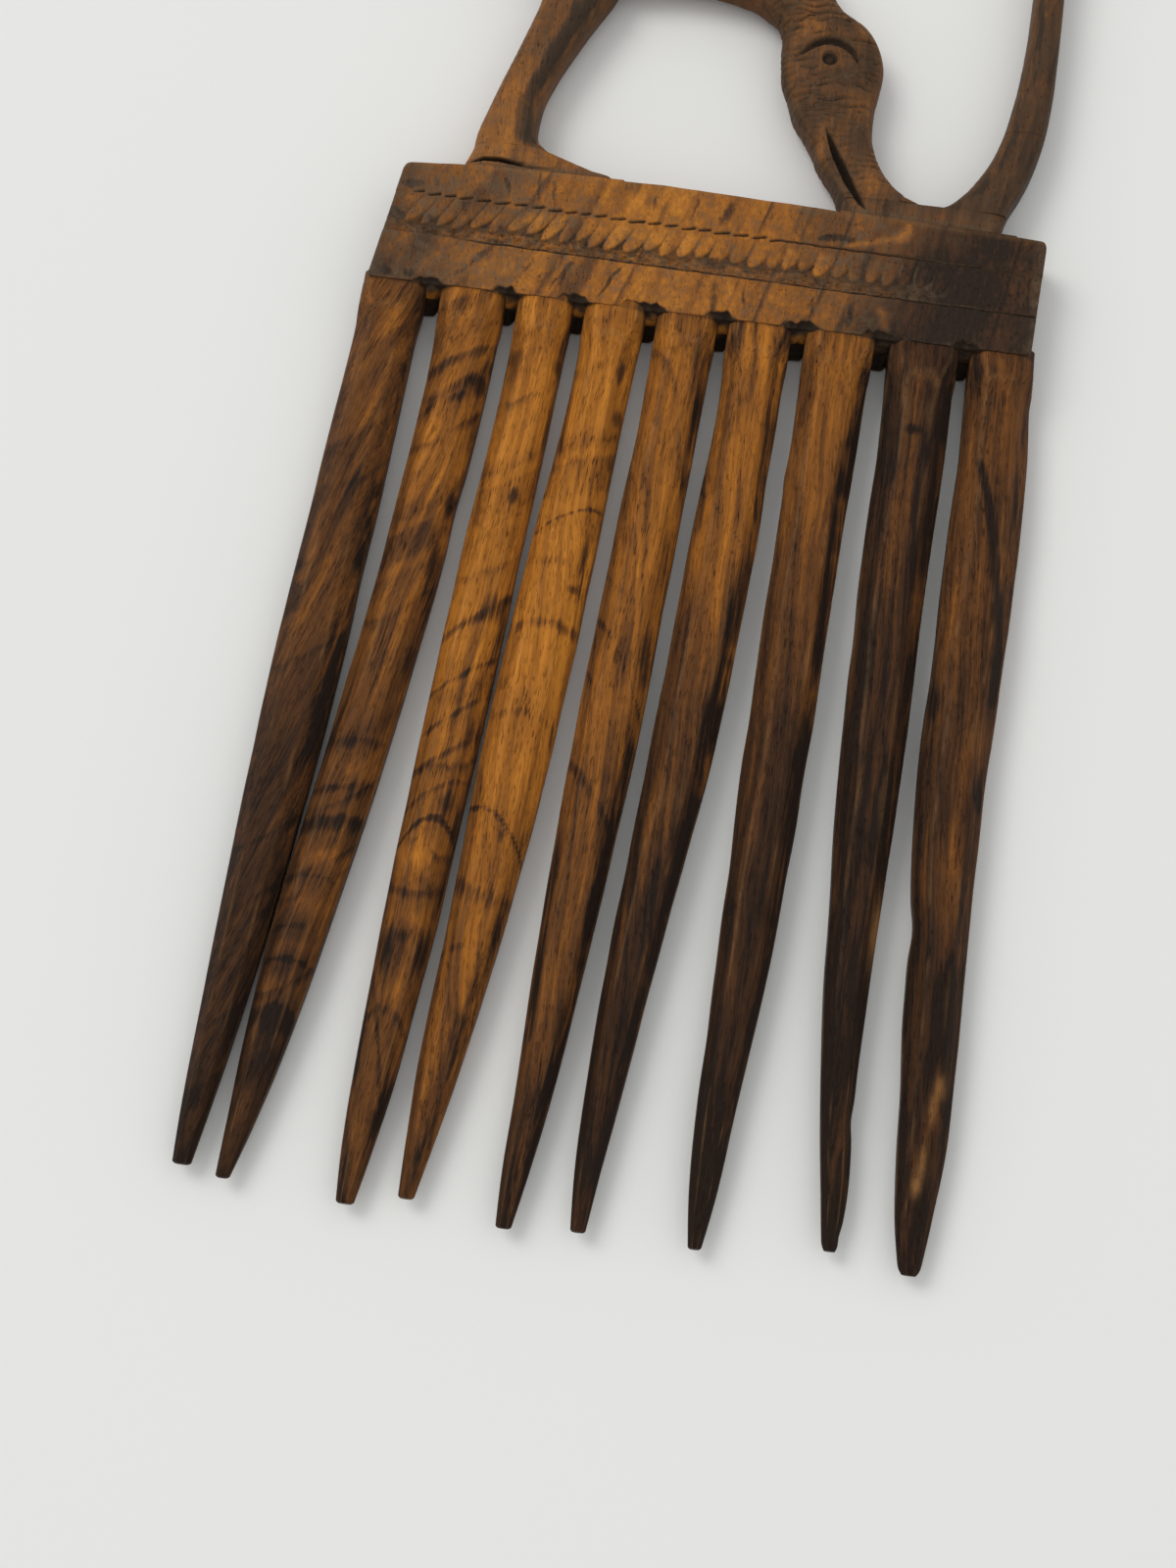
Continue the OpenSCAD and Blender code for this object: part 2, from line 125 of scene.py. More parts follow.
def splitVector(vector):
    return makeNode(vector.tree, "ShaderNodeSeparateXYZ", {0: vector})


def joinVector(tree, *axes):
    return makeNode(tree, "ShaderNodeCombineXYZ", enumerate(axes))[0]


def newTree(name, kind, inputs, outputs):
    # a group whose inputs are given as their first values, or as the names of their kinds;
    # what comes back reaches its inputs by name, and fills its outputs in their order
    tree = bpy.data.node_groups.new(name, kind + "NodeTree")
    for key, value in inputs.items():
        shape = value if isinstance(value, str) else type(value).__name__.capitalize()
        socket = tree.interface.new_socket(
            name=key, in_out="INPUT", socket_type="NodeSocket" + shape)
        if shape != value:
            socket.default_value = value
    for key in outputs:
        shape = "Geometry" if kind == "Geometry" else "Float"
        tree.interface.new_socket(name=key, in_out="OUTPUT", socket_type="NodeSocket" + shape)
    start, end = tree.nodes.new("NodeGroupInput"), tree.nodes.new("NodeGroupOutput")

    def given(key):
        return Wire(start.outputs[key])

    def finish(*values):
        for value, slot in zip(values, end.inputs):
            plug(value, slot)
        return tree

    return given, finish


def newGeometryTree(name, settings):
    # a Geometry Nodes tree, which ends by making its result real and giving it the material
    given, fill = newTree(
        name, "Geometry", {"Geometry": "Geometry", **settings, "Material": "Material"},
        ["Geometry"])
    tree = given("Geometry").tree

    def finish(geometry):
        real = makeNode(tree, "GeometryNodeRealizeInstances", {"Geometry": geometry})[0]
        return fill(*makeNode(tree, "GeometryNodeSetMaterial",
                              {"Geometry": real, "Material": given("Material")}))

    return tree, given, finish


def recall(tree, name, kind="FLOAT"):
    return makeNode(tree, "GeometryNodeInputNamedAttribute", {"Name": name}, data_type=kind)[0]


def store(geometry, name, value, kind="FLOAT"):
    return makeNode(geometry.tree, "GeometryNodeStoreNamedAttribute",
                    {"Geometry": geometry, "Name": name, "Value": value}, data_type=kind)[0]


def addObject(name, data):
    piece = bpy.data.objects.new(name, data)
    scene.collection.objects.link(piece)
    return piece


def makeMesh(name, points, edges=(), faces=(), values=(), flat=0):
    # points in millimetres, values as named numbers for each point, flat counts the end faces
    data = bpy.data.meshes.new(name)
    data.from_pydata((np.asarray(points) * mm).tolist(), edges, faces)
    data.update()
    for key, numbers in dict(values).items():
        data.attributes.new(key, "FLOAT", "POINT").data.foreach_set(
            "value", np.asarray(numbers, np.float32))
    for face in data.polygons:
        face.use_smooth = face.index < len(faces) - flat
    return addObject(name, data)


def runTree(piece, tree, settings):
    # gives the tree its settings, keeps its result as a plain mesh
    modifier = piece.modifiers.new(tree.name, "NODES")
    modifier.node_group = tree
    for item in tree.interface.items_tree:
        if item.in_out == "INPUT" and item.name in settings:
            modifier[item.identifier] = settings[item.name]
    bpy.context.view_layer.update()
    graph = bpy.context.evaluated_depsgraph_get()
    result = bpy.data.meshes.new_from_object(piece.evaluated_get(graph))
    piece.modifiers.remove(modifier)
    piece.data = result
    return piece


def ripple(points, spans, seed):
    # smooth bumps between -1 and 1, as long along each axis as spans says
    return np.array([noise.noise(Vector((x / spans[0] + seed, y / spans[1], z / spans[2])))
                     for x, y, z in points])


def easeStep(values, low, high):
    share = np.clip((values - low) / (high - low), 0, 1)
    return share * share * (3 - 2 * share)


def hump(values, reach=1, power=2):
    return np.exp(-(values / reach) ** power)


def denseRows(rows, spacing):
    # a smooth curve through the rows of a table, and where each row lands in it
    rows = np.array(rows, float)
    last = len(rows) - 1
    dense, marks = [], []
    for i in range(last):
        p, q, r, s = rows[max(i - 1, 0)], rows[i], rows[i + 1], rows[min(i + 2, last)]
        reach = max(np.linalg.norm(r[0:2] - q[0:2]), np.linalg.norm(r[2:4] - q[2:4]))
        steps = max(1, math.ceil(reach / spacing))
        marks.append(len(dense))
        for t in np.arange(steps) / steps:
            dense.append((2 * q + (r - p) * t + (2 * p - 5 * q + 4 * r - s) * t ** 2
                          + (3 * q - p - 3 * r + s) * t ** 3) / 2)
    marks.append(len(dense))
    return np.array(dense + [rows[last]]), marks


def roundPower(angle, squareness):
    # cosine and sine of an angle, pushed outwards for a squarer ring
    return [np.sign(f(angle)) * np.abs(f(angle)) ** (2 / squareness) for f in (np.cos, np.sin)]


def ringAngles(width, height, squareness, count, frontShare):
    # angles round a cross-section, closer together on its front
    angle = np.linspace(0, 2 * math.pi, 2001)
    x, z = roundPower(angle, squareness)
    x, z = x * width / 2, z * height / 2
    length = np.hypot(np.diff(x), np.diff(z))
    length *= np.where((z[1:] + z[:-1]) > 0.5 * height, frontShare, 1.0)
    run = np.concatenate([[0], np.cumsum(length)])
    return np.interp(np.arange(count) / count * run[-1], run, angle)


def skinRings(rows, angles):
    # rows of left x, left y, right x, right y, back, front, squareness
    across, up = roundPower(angles, rows[:, 6:7])
    middle = (rows[:, 0:2] + rows[:, 2:4]) / 2
    reach = (rows[:, 2:4] - rows[:, 0:2]) / 2
    flat = middle[:, None, :] + reach[:, None, :] * across[:, :, None]
    z = (rows[:, 4:5] + rows[:, 5:6]) / 2 + (rows[:, 5:6] - rows[:, 4:5]) / 2 * up
    points = np.concatenate([flat, z[:, :, None]], axis=2).reshape(-1, 3)
    return points, across.reshape(-1), up.reshape(-1)


def ringFaces(rings, points):
    # quads between neighbouring rings and a face on each end, turned to point outwards
    sides = len(points) // rings
    ring = np.arange(rings - 1)[:, None] * sides
    a, b = ring + np.arange(sides), ring + (np.arange(sides) + 1) % sides
    quads = np.stack([a, b, b + sides, a + sides], axis=2).reshape(-1, 4)
    p, q, r = points[quads[:, :3]].transpose(1, 0, 2)
    volume = ((p - points.mean(0)) * np.cross(q - p, r - p)).sum()
    first, end = list(range(sides)), list(range((rings - 1) * sides, rings * sides))
    faces = quads.tolist() + [first[::-1], end]
    return [face[::-1] for face in faces] if volume < 0 else faces


def knifeCuts(points, strokes):
    # depth of the cuts at each point: a stroke is a line of points, a width and a depth
    depth = np.zeros(len(points))
    for line, width, deep in strokes:
        line = np.array(line, float)
        nearest = np.full(len(points), np.inf)
        place = np.zeros(len(points))
        for i, run in enumerate(np.diff(line, axis=0)):
            off = points[:, :2] - line[i]
            t = np.clip(off @ run / (run @ run), 0, 1)
            away = np.linalg.norm(off - t[:, None] * run, axis=1)
            closer = away < nearest
            nearest[closer] = away[closer]
            place[closer] = ((i + t) / (len(line) - 1))[closer]
        taper = np.sin(math.pi * np.clip(place, 0.02, 0.98)) ** 0.45
        cut = taper * np.clip(1 - nearest / (width / 2 * taper), 0, 1) ** 0.7
        depth = np.maximum(depth, deep * cut)
    return depth


print("tools ready")


# The wood. Its figure is named in millimetres, as the board lies.
board = {"Arch X": -1.0, "Arch Lean": 0.3, "Left Slope": 0.95, "Left Round": 6.0,
         "Right Slope": 3.4, "Right Round": 8.0, "Layer Slant": 0.8, "Spacing": 5.6, "Warp": 2.4,
         "Fray": 1.0}
# above the tines the rings stand up more and more steeply towards the right
upperBoard = {**board, "Arch X": -45.0, "Arch Lean": 0.0, "Right Slope": -6.0,
              "Right Round": 60.0, "Spacing": 9.0, "Warp": 2.0, "Fray": 0.8}
tineFibre = {"Fibre Width": 0.34, "Fibre Length": 11.0, "Pore Width": 0.15, "Pore Length": 1.5,
             "Pore Share": 0.75}
barFibre = {"Fibre Width": 0.45, "Fibre Length": 1.0, "Pore Width": 0.2, "Pore Length": 0.5,
            "Pore Share": 0.4}
handleFibre = {**barFibre, "Fibre Length": 5.0, "Pore Length": 1.0, "Pore Share": 0.45}
woodTones = {
    # light heartwood to nearly black streaks, as they look on a screen
    "stops": [(0.0, (190, 122, 44)), (0.25, (152, 94, 35)), (0.5, (106, 66, 32)),
              (0.75, (68, 44, 27)), (1.0, (37, 27, 21))],
    # the dirt colour also serves as painted shade in recesses and cuts
    "dirtAndShade": (41, 32, 26), "dust": (120, 98, 74), "rub": (168, 122, 74), "pore": (34, 19, 13),
}


def figureGroup():
    # growth rings cut by the board: nested arches with their tops towards the handle
    given, finish = newTree("ringFigure", "Shader", {"Place": "Vector", **board},
                            ["Bands", "Lines", "Cloud"])

    def arm(side, run):
        bend = given(side + " Round")
        return ((run * run + bend * bend) ** 0.5 - bend) * given(side + " Slope")

    x, y, z = splitVector(given("Place"))
    slow = noise3d(x * 0.05, y * 0.03, z * 0.08, 1.0) - 0.5
    quick = noise3d(x * 0.22, y * 0.08, z * 0.3) - 0.5
    fray = noise3d(x * 2.9, y * 0.2, z * 2.9, 3.0, 0.65) - 0.5
    warp = slow * given("Warp")
    side = x - given("Arch X") - given("Arch Lean") * y + warp * 1.5
    level = y + arm("Left", side.least(0.0)) + arm("Right", side.most(0.0))
    level = level + z * given("Layer Slant") + warp * 2.6
    level = level + quick * 2.2 + fray * given("Fray") * 2.0
    phase = level * -1.0 / given("Spacing")
    phase = phase + noise1d(phase * 0.8 + 4.4, 1.0) * 1.6
    part, ring = phase.split()
    finePart, fineRing = (phase * 2.63 + quick * 0.8).split()
    strength, fineStrength = whiteNoise(ring + 2.3), whiteNoise(fineRing + 7.9)
    come = noise3d(x * 0.3, y * 0.12, z * 0.3).ease(0.38, 0.6)
    bands = part.ease(0.0, 0.25) * part.ease(0.8, 0.2) * (strength.ease(0.1, 0.8) * 0.9 + 0.1)
    bands = bands * (come * 0.75 + 0.25) * (fray * 2.0 + 1.0).clamp()
    thin = part.ease(0.0, 0.14) * part.ease(0.36, 0.14) * strength.ease(0.3, 0.9)
    fineThin = finePart.ease(0.0, 0.25) * finePart.ease(0.6, 0.25) * fineStrength.ease(0.4, 0.95)
    broken = (fray * 4.0 + 0.45).clamp() * (come * 0.85 + 0.15)
    cloud = noise3d(x * 0.16, y * 0.05, z * 0.16, 3.0, 0.55)
    return finish(bands, (thin * 0.8 + fineThin * 0.7) * broken, cloud)


def fibreGroup():
    # lengthwise fibres and short open pores
    given, finish = newTree(
        "fibresAndPores", "Shader", {"Place": "Vector", "Slant": 0.0, **tineFibre},
        ["Fibres", "Pores", "Streaks"])
    x, y, z = splitVector(given("Place"))
    sway = noise3d(x * 0.12, y * 0.05, z * 0.12, 1.0)
    x = x - y * given("Slant") + sway * 2.6

    def drawn(kind, detail, roughness):
        width, length = given(kind + " Width"), given(kind + " Length")
        return noise3d(x / width, y / length, z / width, detail, roughness)

    streaks = noise3d(x * 0.95, y * 0.035, z * 0.95, 2.0, 0.6)
    patches = noise3d(x * 0.3, y * 0.08, z * 0.3, 1.0)
    level = 0.78 - given("Pore Share") * 0.22 - (patches - 0.5) * 0.14
    pores = ((drawn("Pore", 1.0, 0.4) - level) * 14.0).clamp()
    return finish(drawn("Fibre", 3.0, 0.65), pores, streaks)


def handlingGroup():
    # what hands leave, and painted shade: dirt and painted shade in the hollows in blotches, and
    # polish where it is rubbed
    given, finish = newTree(
        "handlingAndShade", "Shader", {"Place": "Vector", "Hollow": 0.0, "Edge": 0.0, "Blotch Size": 3.0},
        ["Dirt", "Dust", "Rub", "Mottle"])
    x, y, z = splitVector(given("Place"))
    size, hollow = given("Blotch Size"), given("Hollow")
    blotch = noise3d(x / size, y / size, z / size, 4.0, 0.65)
    fine = noise3d(x, y * 0.75, z, 4.0, 0.68)
    dirtAndShade = (hollow * (blotch * 0.9 + fine * 0.5 + 0.3)).clamp()
    dust = (hollow.ease(0.02, 0.4) * (fine * 2.4 - 0.7)).clamp()
    rub = (given("Edge") * (blotch * 1.8 - 0.45)).clamp()
    return finish(dirtAndShade, dust, rub, fine * 0.6 + blotch * 0.4)


figureNodes, fibreNodes, handlingAndShadeNodes = figureGroup(), fibreGroup(), handlingGroup()


def woodMaterial(name, figure, fibre, values):
    material = bpy.data.materials.new(name)
    material.use_nodes = True
    tree = material.node_tree
    shader = tree.nodes["Principled BSDF"]
    spot = Wire(tree.nodes.new("ShaderNodeTexCoord").outputs["Object"])
    place = makeNode(tree, "ShaderNodeVectorMath", {0: spot, "Scale": 1 / mm},
                     operation="SCALE")[0]

    def effect(group, **settings):
        return makeNode(tree, "ShaderNodeGroup", {"Place": place, **settings}, node_tree=group)

    tone, stainAndShade, hollow, edge, slant, figured = [
        makeNode(tree, "ShaderNodeAttribute", attribute_name=key)[2]
        for key in ("tone", "stainAndShade", "hollow", "edge", "slant", "figured")]
    bands, lines, cloud = effect(figureNodes, **figure)
    threads, pores, streaks = effect(fibreNodes, Slant=slant, **fibre)
    dirtAndShade, dust, rub, mottle = effect(
        handlingAndShadeNodes, Hollow=hollow, Edge=edge, **{"Blotch Size": values["blotch"]})
    mottle, streaks = mottle - 0.5, streaks - 0.5
    tone = tone + ((bands - 0.2) * values["bands"] + lines * values["lines"]) * figured
    tone = tone + (cloud - 0.5) * values["cloud"] + (threads - 0.5) * values["threads"]
    tone = tone + mottle * values["mottle"] + streaks * values["streaks"]
    # stains, and the painted shade on the tines' right flanks, have streaky edges, because they
    # follow the fibres
    stainAndShade = stainAndShade + ((threads - 0.5) * 0.75 + streaks) * stainAndShade.ease(0.0, 0.4) + (cloud - 0.5) * 0.4
    tone = tone + stainAndShade.ease(0.3, 0.95) * values["stainAndShade"]
    ramp = tree.nodes.new("ShaderNodeValToRGB")
    while len(ramp.color_ramp.elements) < len(woodTones["stops"]):
        ramp.color_ramp.elements.new(0.5)
    for element, (at, tint) in zip(ramp.color_ramp.elements, woodTones["stops"]):
        element.position, element.color = at, rgb(*tint)
    plug(tone.clamp(), ramp.inputs[0])
    colour = Wire(ramp.outputs["Color"])
    veil = (cloud * 0.4 + mottle * 1.6).ease(0.16, 0.5) * (1.25 - tone).clamp() * values["haze"]
    layers = {"pore": pores * (bands * 1.5 + 0.38).clamp() * values["pores"],
              "dust": (dust * values["dust"] + values["veil"] + veil).clamp(),
              "dirtAndShade": dirtAndShade * values["dirtAndShade"], "rub": rub * values["rub"]}
    for key, share in layers.items():
        colour = makeNode(tree, "ShaderNodeMix", data_type="RGBA", inputs={
            "Factor": share, "A": colour, "B": rgb(*woodTones[key])})[0]
    relief = threads * values["relief"] - pores * values["relief"] * 1.2 - lines * 0.1
    normal = makeNode(tree, "ShaderNodeBump", {
        "Strength": values["bump"], "Distance": 0.2 * mm, "Height": relief})[0]
    rough = values["rough"] + dirtAndShade * 0.25 + (threads - 0.5) * 0.12
    fillInputs(shader, {"Base Color": colour, "Roughness": rough.clamp(), "Normal": normal,
                        "Specular IOR Level": values["gloss"]})
    return material


tineWood = woodMaterial("tineWood", board, tineFibre, {
    "blotch": 5.0, "bands": 0.5, "lines": 0.2, "cloud": 0.4, "threads": 0.5, "mottle": 0.3,
    "streaks": 0.75, "stainAndShade": 0.44, "pores": 0.7, "dust": 0.1, "veil": 0.0, "haze": 0.0,
    "dirtAndShade": 0.85, "rub": 0.34, "rough": 0.4, "gloss": 0.05, "relief": 0.8, "bump": 0.7,
})
barWood = woodMaterial("barWood", upperBoard, barFibre, {
    "blotch": 2.4, "bands": 0.36, "lines": 0.12, "cloud": 0.5, "threads": 0.35, "mottle": 0.9,
    "streaks": 0.0, "stainAndShade": 0.42, "pores": 0.3, "dust": 0.75, "veil": 0.03, "haze": 0.42,
    "dirtAndShade": 0.9, "rub": 0.3, "rough": 0.5, "gloss": 0.08, "relief": 0.9, "bump": 0.9,
})
handleWood = woodMaterial("handleWood", upperBoard, handleFibre, {
    "blotch": 3.5, "bands": 0.26, "lines": 0.1, "cloud": 0.5, "threads": 0.32, "mottle": 0.8,
    "streaks": 0.4, "stainAndShade": 0.42, "pores": 0.4, "dust": 0.6, "veil": 0.13, "haze": 0.35,
    "dirtAndShade": 0.95, "rub": 0.25, "rough": 0.5, "gloss": 0.08, "relief": 0.9, "bump": 0.9,
})
print("wood ready")


# The bar: a worn board with a band of chip-carved scales between two lines.
bar = {
    "length": 78.6, "height": 15.6, "thickness": 6.5, "crown": 1.35,
    "leftLean": 2.1, "rightLean": 0.8,
    "topEdge": [(-0.5, 0.3), (-0.405, 0.75), (-0.1, 1.0), (0.5, -0.1)],
    "upperLine": 3.55, "lowerLine": -2.0, "fall": 1.35, "lineMargin": 0.5,
    "round": 0.45, "backRound": 0.4, "endRound": 0.5, "cornerRound": 0.9, "leastRound": 0.06,
    "jointRound": 0.07, "jointMargin": 0.6, "faceDip": 0.07, "wallDip": 0.08,
    "columns": 560, "plainRows": 14, "bandRows": 62,
    # the gap between two tines, and each tine's shift from an even row, as a share of the pitch
    "gap": 1.6, "shifts": [-0.077, 0.01, -0.015, -0.085, -0.123, -0.15, -0.075, 0.035, 0.085],
    # where the foot and the web stand on it
    "joined": [(-31.4, -13.2), (14.6, 35.0)],
    # how far the ragged slot at each gap reaches to the left and right of the gap's middle
    "slots": [(-1.5, 3.1), (-1.2, 2.3), (-2.0, 2.1), (-3.1, 3.8), (-1.8, 2.6), (-2.0, 4.3),
              (-2.3, 4.6), (-1.5, 2.5)],
}
bandTree = {
    "Pitch": 2.05, "Lean": 0.36, "Scale Top": 2.25, "Scale Tip": -1.25, "Depth": 0.46,
    "Pit Depth": 0.42, "Line Depth": 0.5, "Line Width": 0.3, "Dashes End": 8.0,
    "Fade Start": 21.0, "Fade End": 31.0, "Roughness": 0.1, "Seed": 4,
}
thick = bar["thickness"]
barTop, barHalf = bar["height"] / 2, bar["length"] / 2
lineFall = bar["fall"] / bar["length"]
bandHalf = (bar["upperLine"] - bar["lowerLine"]) / 2
bandMiddle = (bar["upperLine"] + bar["lowerLine"]) / 2
rowLeft, rowRight = -barHalf - bar["leftLean"] / 2, barHalf - bar["rightLean"] / 2
pitch = (rowRight - rowLeft + bar["gap"]) / 9
roots = rowLeft - bar["gap"] / 2 + pitch * (np.arange(9) + 0.5 + bar["shifts"])
gaps = (roots[1:] + roots[:-1]) / 2
# dark veins and spots on the bar's front: points, width, strength
barMarks = [
    ([(-30.8, -7.7), (-28.8, -5.1), (-26.1, -1.8), (-24.1, -0.6)], 1.9, 0.95),
    ([(-23.3, -6.7), (-21.8, -4.7), (-20.3, -2.4)], 0.9, 0.8),
    ([(-19.2, -7.6), (-17.1, -4.3), (-15.4, -2)], 0.9, 1),
    ([(-17.3, -7), (-17, -4.6), (-16.3, -2.6)], 0.6, 0.7),
    ([(-13, -7.9), (-11.6, -4.6), (-9.6, -1.4)], 0.9, 1),
    ([(-3.5, -7.6), (-4.1, -3.5), (-4.6, -2.3)], 0.7, 0.6),
    ([(0.9, -2.1), (0.9, -5.3), (1, -8.2)], 1.9, 0.75),
    ([(12.8, -3), (12.5, -5.5), (11.2, -7.9)], 1.7, 0.8),
    ([(4.4, -2), (4.6, -7.2)], 0.8, 0.6), ([(17.4, -3.2), (17, -7.6)], 2.2, 0.7),
    ([(-40.3, -7.2), (-38.6, -6.7), (-36.9, -7.2)], 1.7, 1),
    ([(-36.4, -7.2), (-35.5, -6.6), (-34, -7)], 1.3, 0.8),
    ([(-38.6, 4.7), (-36.9, 5.2), (-35, 5.5)], 1.8, 1.2),
    ([(-34.1, 7.2), (-33.9, 4.7)], 0.9, 0.7), ([(-31.9, 7.2), (-31.9, 4.8)], 0.9, 0.8),
    ([(-25.9, 7.9), (-24.7, 4.8)], 1, 0.9),
    ([(-21.8, 9.2), (-21.7, 7.1), (-21.3, 4)], 0.9, 0.75),
    ([(-20, 8.4), (-19.3, 4)], 0.8, 0.6), ([(-14, 8.2), (-14.6, 4.2)], 1, 0.45),
    ([(-7.3, 8.8), (-7.6, 4.2)], 1, 0.75), ([(-2.2, 8.6), (-2.9, 4.4)], 0.8, 0.75),
    ([(1.9, 8.2), (1.1, 6), (0.3, 3.6)], 2.2, 0.85), ([(7, 7.8), (6.4, 4)], 1.4, 0.5),
    ([(11.8, 4.3), (14.3, 4.7), (17.6, 4.5)], 1.7, 1.1), ([(19, 7), (15, 6.6)], 1.2, 0.6),
    ([(-39.6, 1.3), (-36.5, 1)], 2.4, 1.2), ([(-34.4, 1.7), (-33.4, 0.3)], 1.2, 1),
    ([(-26.7, 0.6), (-24.9, 0.7)], 1.3, 0.8), ([(-23.1, 0.2), (-21.6, 0.1)], 1.4, 0.9),
    ([(-16.8, -0.6), (-14.3, -0.1)], 1.5, 0.9), ([(-0.8, -0.3), (1.2, -0.3)], 1.5, 0.9),
    ([(12.3, -1.2), (14.8, -1.3)], 1.4, 0.8), ([(-29.8, 0.9), (-28.8, 1.6)], 0.9, 0.6),
    ([(6.4, -0.9), (8, -0.8)], 1, 0.6),
]
# light patches there, the last two a flame that widens to the right
barLights = [
    ([(-34.4, -6.4), (-32, -3.4)], 2.6, 0.2), ([(-37.3, -5.8), (-36.2, -3.9)], 1.3, 0.18),
    ([(-28, -6.6), (-25.9, -3.6)], 2, 0.16), ([(-24.6, -6), (-22.9, -3.6)], 1.4, 0.12),
    ([(2.5, -2.4), (2.9, -5), (3.3, -7.2)], 1.9, 0.14), ([(7, -3.6), (9.5, -5.4)], 3.6, 0.1),
    ([(20.4, -3.4), (21.2, -5.2), (21.7, -6.8)], 2.3, 0.34),
    ([(-12, 6.6), (-9, 6.2)], 3, 0.1), ([(-5.6, 7.2), (-4.4, 5.2)], 2.2, 0.1),
    ([(15, 3.6), (18.7, 4.5), (21, 5.1), (23.2, 6)], 1.1, 0.36),
    ([(20.6, 4.9), (22.6, 5.9), (23.4, 7.4)], 2.3, 0.46),
]


def topY(x):
    shares, rises = np.array(bar["topEdge"]).T
    return np.interp(x, shares * bar["length"], barTop + rises * bar["crown"])


def carvedBandTree():
    tree, given, finish = newGeometryTree("carvedBand", bandTree)
    position = makeNode(tree, "GeometryNodeInputPosition")[0]
    x, y, z = [axis * (1 / mm) for axis in splitVector(position)]
    face = recall(tree, "front")
    seed = given("Seed") * 13.7

    # height above the band's middle line, which falls to the right
    rise = y - bandMiddle + x * lineFall
    drift = noise1d(x * 0.11 + seed, 1.0) - 0.5
    turn = (x - (given("Lean") - x * 0.008) * rise + drift * 1.6) / given("Pitch")
    part, number = turn.split()
    part = part - 0.5
    luckA, luckB, luckC = [whiteNoise(number + seed + more) for more in (0.0, 51.3, 97.1)]

    # scales: overlapping lobes that hang from a smooth strip and end in points
    leftward = x.ease(-6.0, -24.0)
    tip = given("Scale Tip") + (luckA - 0.5) * 0.8
    top = given("Scale Top") + leftward * 0.3
    along = ((top - rise) / (top - tip)).most(0.0)
    half = ((1.0 - along.least(1.0) ** 3.0) ** 0.7 * 0.61).most(0.001)
    across = ((part + along * 0.06 + (luckC - 0.5) * 0.1) / half).size()
    dome = (1.0 - across ** 3.0).most(0.0) ** 0.6
    grown = along.ease(0.0, 0.24)
    kept = 1.0 - along.ease(0.86, 1.02)
    wear = luckB * 0.5 + 0.5
    fade = (1.0 - x.ease(given("Fade Start"), given("Fade End"))) * x.ease(-39.6, -35.5)
    scales = (given("Depth") * (1.0 - dome) * grown * wear + grown * 0.05) * kept
    pits = given("Pit Depth") * across.ease(0.85, 1.3) * along.ease(0.5, 0.85)
    pits = pits * (1.0 - along.ease(1.0, 1.2))
    lowZone = along.ease(0.95, 1.1)
    crumbs = noise3d(x * 1.15, y * 1.5, z, 3.0, 0.6)
    strip = lowZone * (0.2 + (crumbs - 0.42).most(0.0) * 1.8)
    inBand = rise.size().ease(bandHalf, bandHalf - 0.2)
    carved = scales.most(pits * wear).most(strip) * inBand * fade
    carved = carved + (1.0 - fade) * inBand * (0.1 + (crumbs - 0.4).most(0.0) * 0.35)

    # scribed lines: the upper one is a row of short slanting stabs at first, then a clean cut
    wander = (noise1d(x * 0.35 + seed + 7.0, 2.0) - 0.5) * 0.22
    dashPart, dashNumber = (x / given("Pitch") + drift * 0.8).split()
    dashPart, luckD = dashPart - 0.5, whiteNoise(dashNumber + seed + 23.0)
    clean = (x - given("Dashes End")).ease(-1.0, 1.0)
    dashed = 1.0 - clean
    slant = dashed * dashPart * 0.42 + dashed * (luckD - 0.5) * 0.16
    dash = clean + dashed * ((dashPart.size() + luckD * 0.12).ease(0.5, 0.34) * 0.85 + 0.15)
    swell = 0.5 + dashed * (0.15 + dashPart * 0.45)
    off = (rise - bandHalf - wander - slant).size()
    upper = (1.0 - off / (given("Line Width") * swell)).clamp()
    upper = upper * dash * given("Line Depth") * (1.0 - x.ease(33.0, 38.0) * 0.6)
    upper = upper * x.ease(-38.5, -34.5)
    lower = (1.0 - (rise + bandHalf - wander).size() / (given("Line Width") * 0.8)).clamp()
    lower = lower * given("Line Depth") * (noise1d(x * 0.3 + 31.0, 1.0) * 0.8 + 0.65)
    lower = lower * (1.0 - (x + drift * 6.0).ease(-25.0, -31.0) * 0.85)

    rough = noise3d(x * 1.3, y * 1.3, z * 1.3, 3.0, 0.6)
    depth = carved.most(upper).most(lower) + rough * given("Roughness") * (inBand * 0.8 + 0.2)
    drop = joinVector(tree, 0.0, 0.0, depth * face * -mm)
    geometry = makeNode(tree, "GeometryNodeSetPosition",
                        {"Geometry": given("Geometry"), "Offset": drop})[0]

    # painted shade and dirt between the scales and in the lines, and a painted highlight on the
    # domes of most scales
    between = across.ease(0.85, 1.02).most(part.size().ease(0.36, 0.5) * (leftward * 0.4 + 0.55))
    between = between * grown.most(leftward) * kept * (luckB * 0.4 + 0.6)
    between = between.most(pits * 1.7).most(lowZone * (crumbs * 1.7 - 0.5).most(0.2))
    greyed = (x + drift * 8.0).ease(-12.0, -26.0) * 0.16 + (rough - 0.5) * 0.5
    between = between.most(greyed * grown)
    hollow = (between * inBand * fade).most(upper * 3.2).most(lower * 3.2)
    hollow = hollow.most((1.0 - fade) * inBand * (crumbs - 0.45) * 0.3)
    hollow = (hollow * face).most(recall(tree, "hollow"))
    lit = (luckC - 0.35) * dome * grown * kept * inBand * fade * face * -0.3
    geometry = store(geometry, "tone", recall(tree, "tone") + lit)
    return finish(store(geometry, "hollow", hollow.clamp()))


def slotAt(x):
    # 1 in the slots along the bar's lower edge, thinner towards their right ends
    off = np.asarray(x, float)[..., None] - gaps
    left, right = np.array(bar["slots"]).T
    opening = easeStep(off - left, -0.2, 0.9)
    return (opening * (1 - easeStep(off - 0.8, 0, right - 0.8))).max(-1)


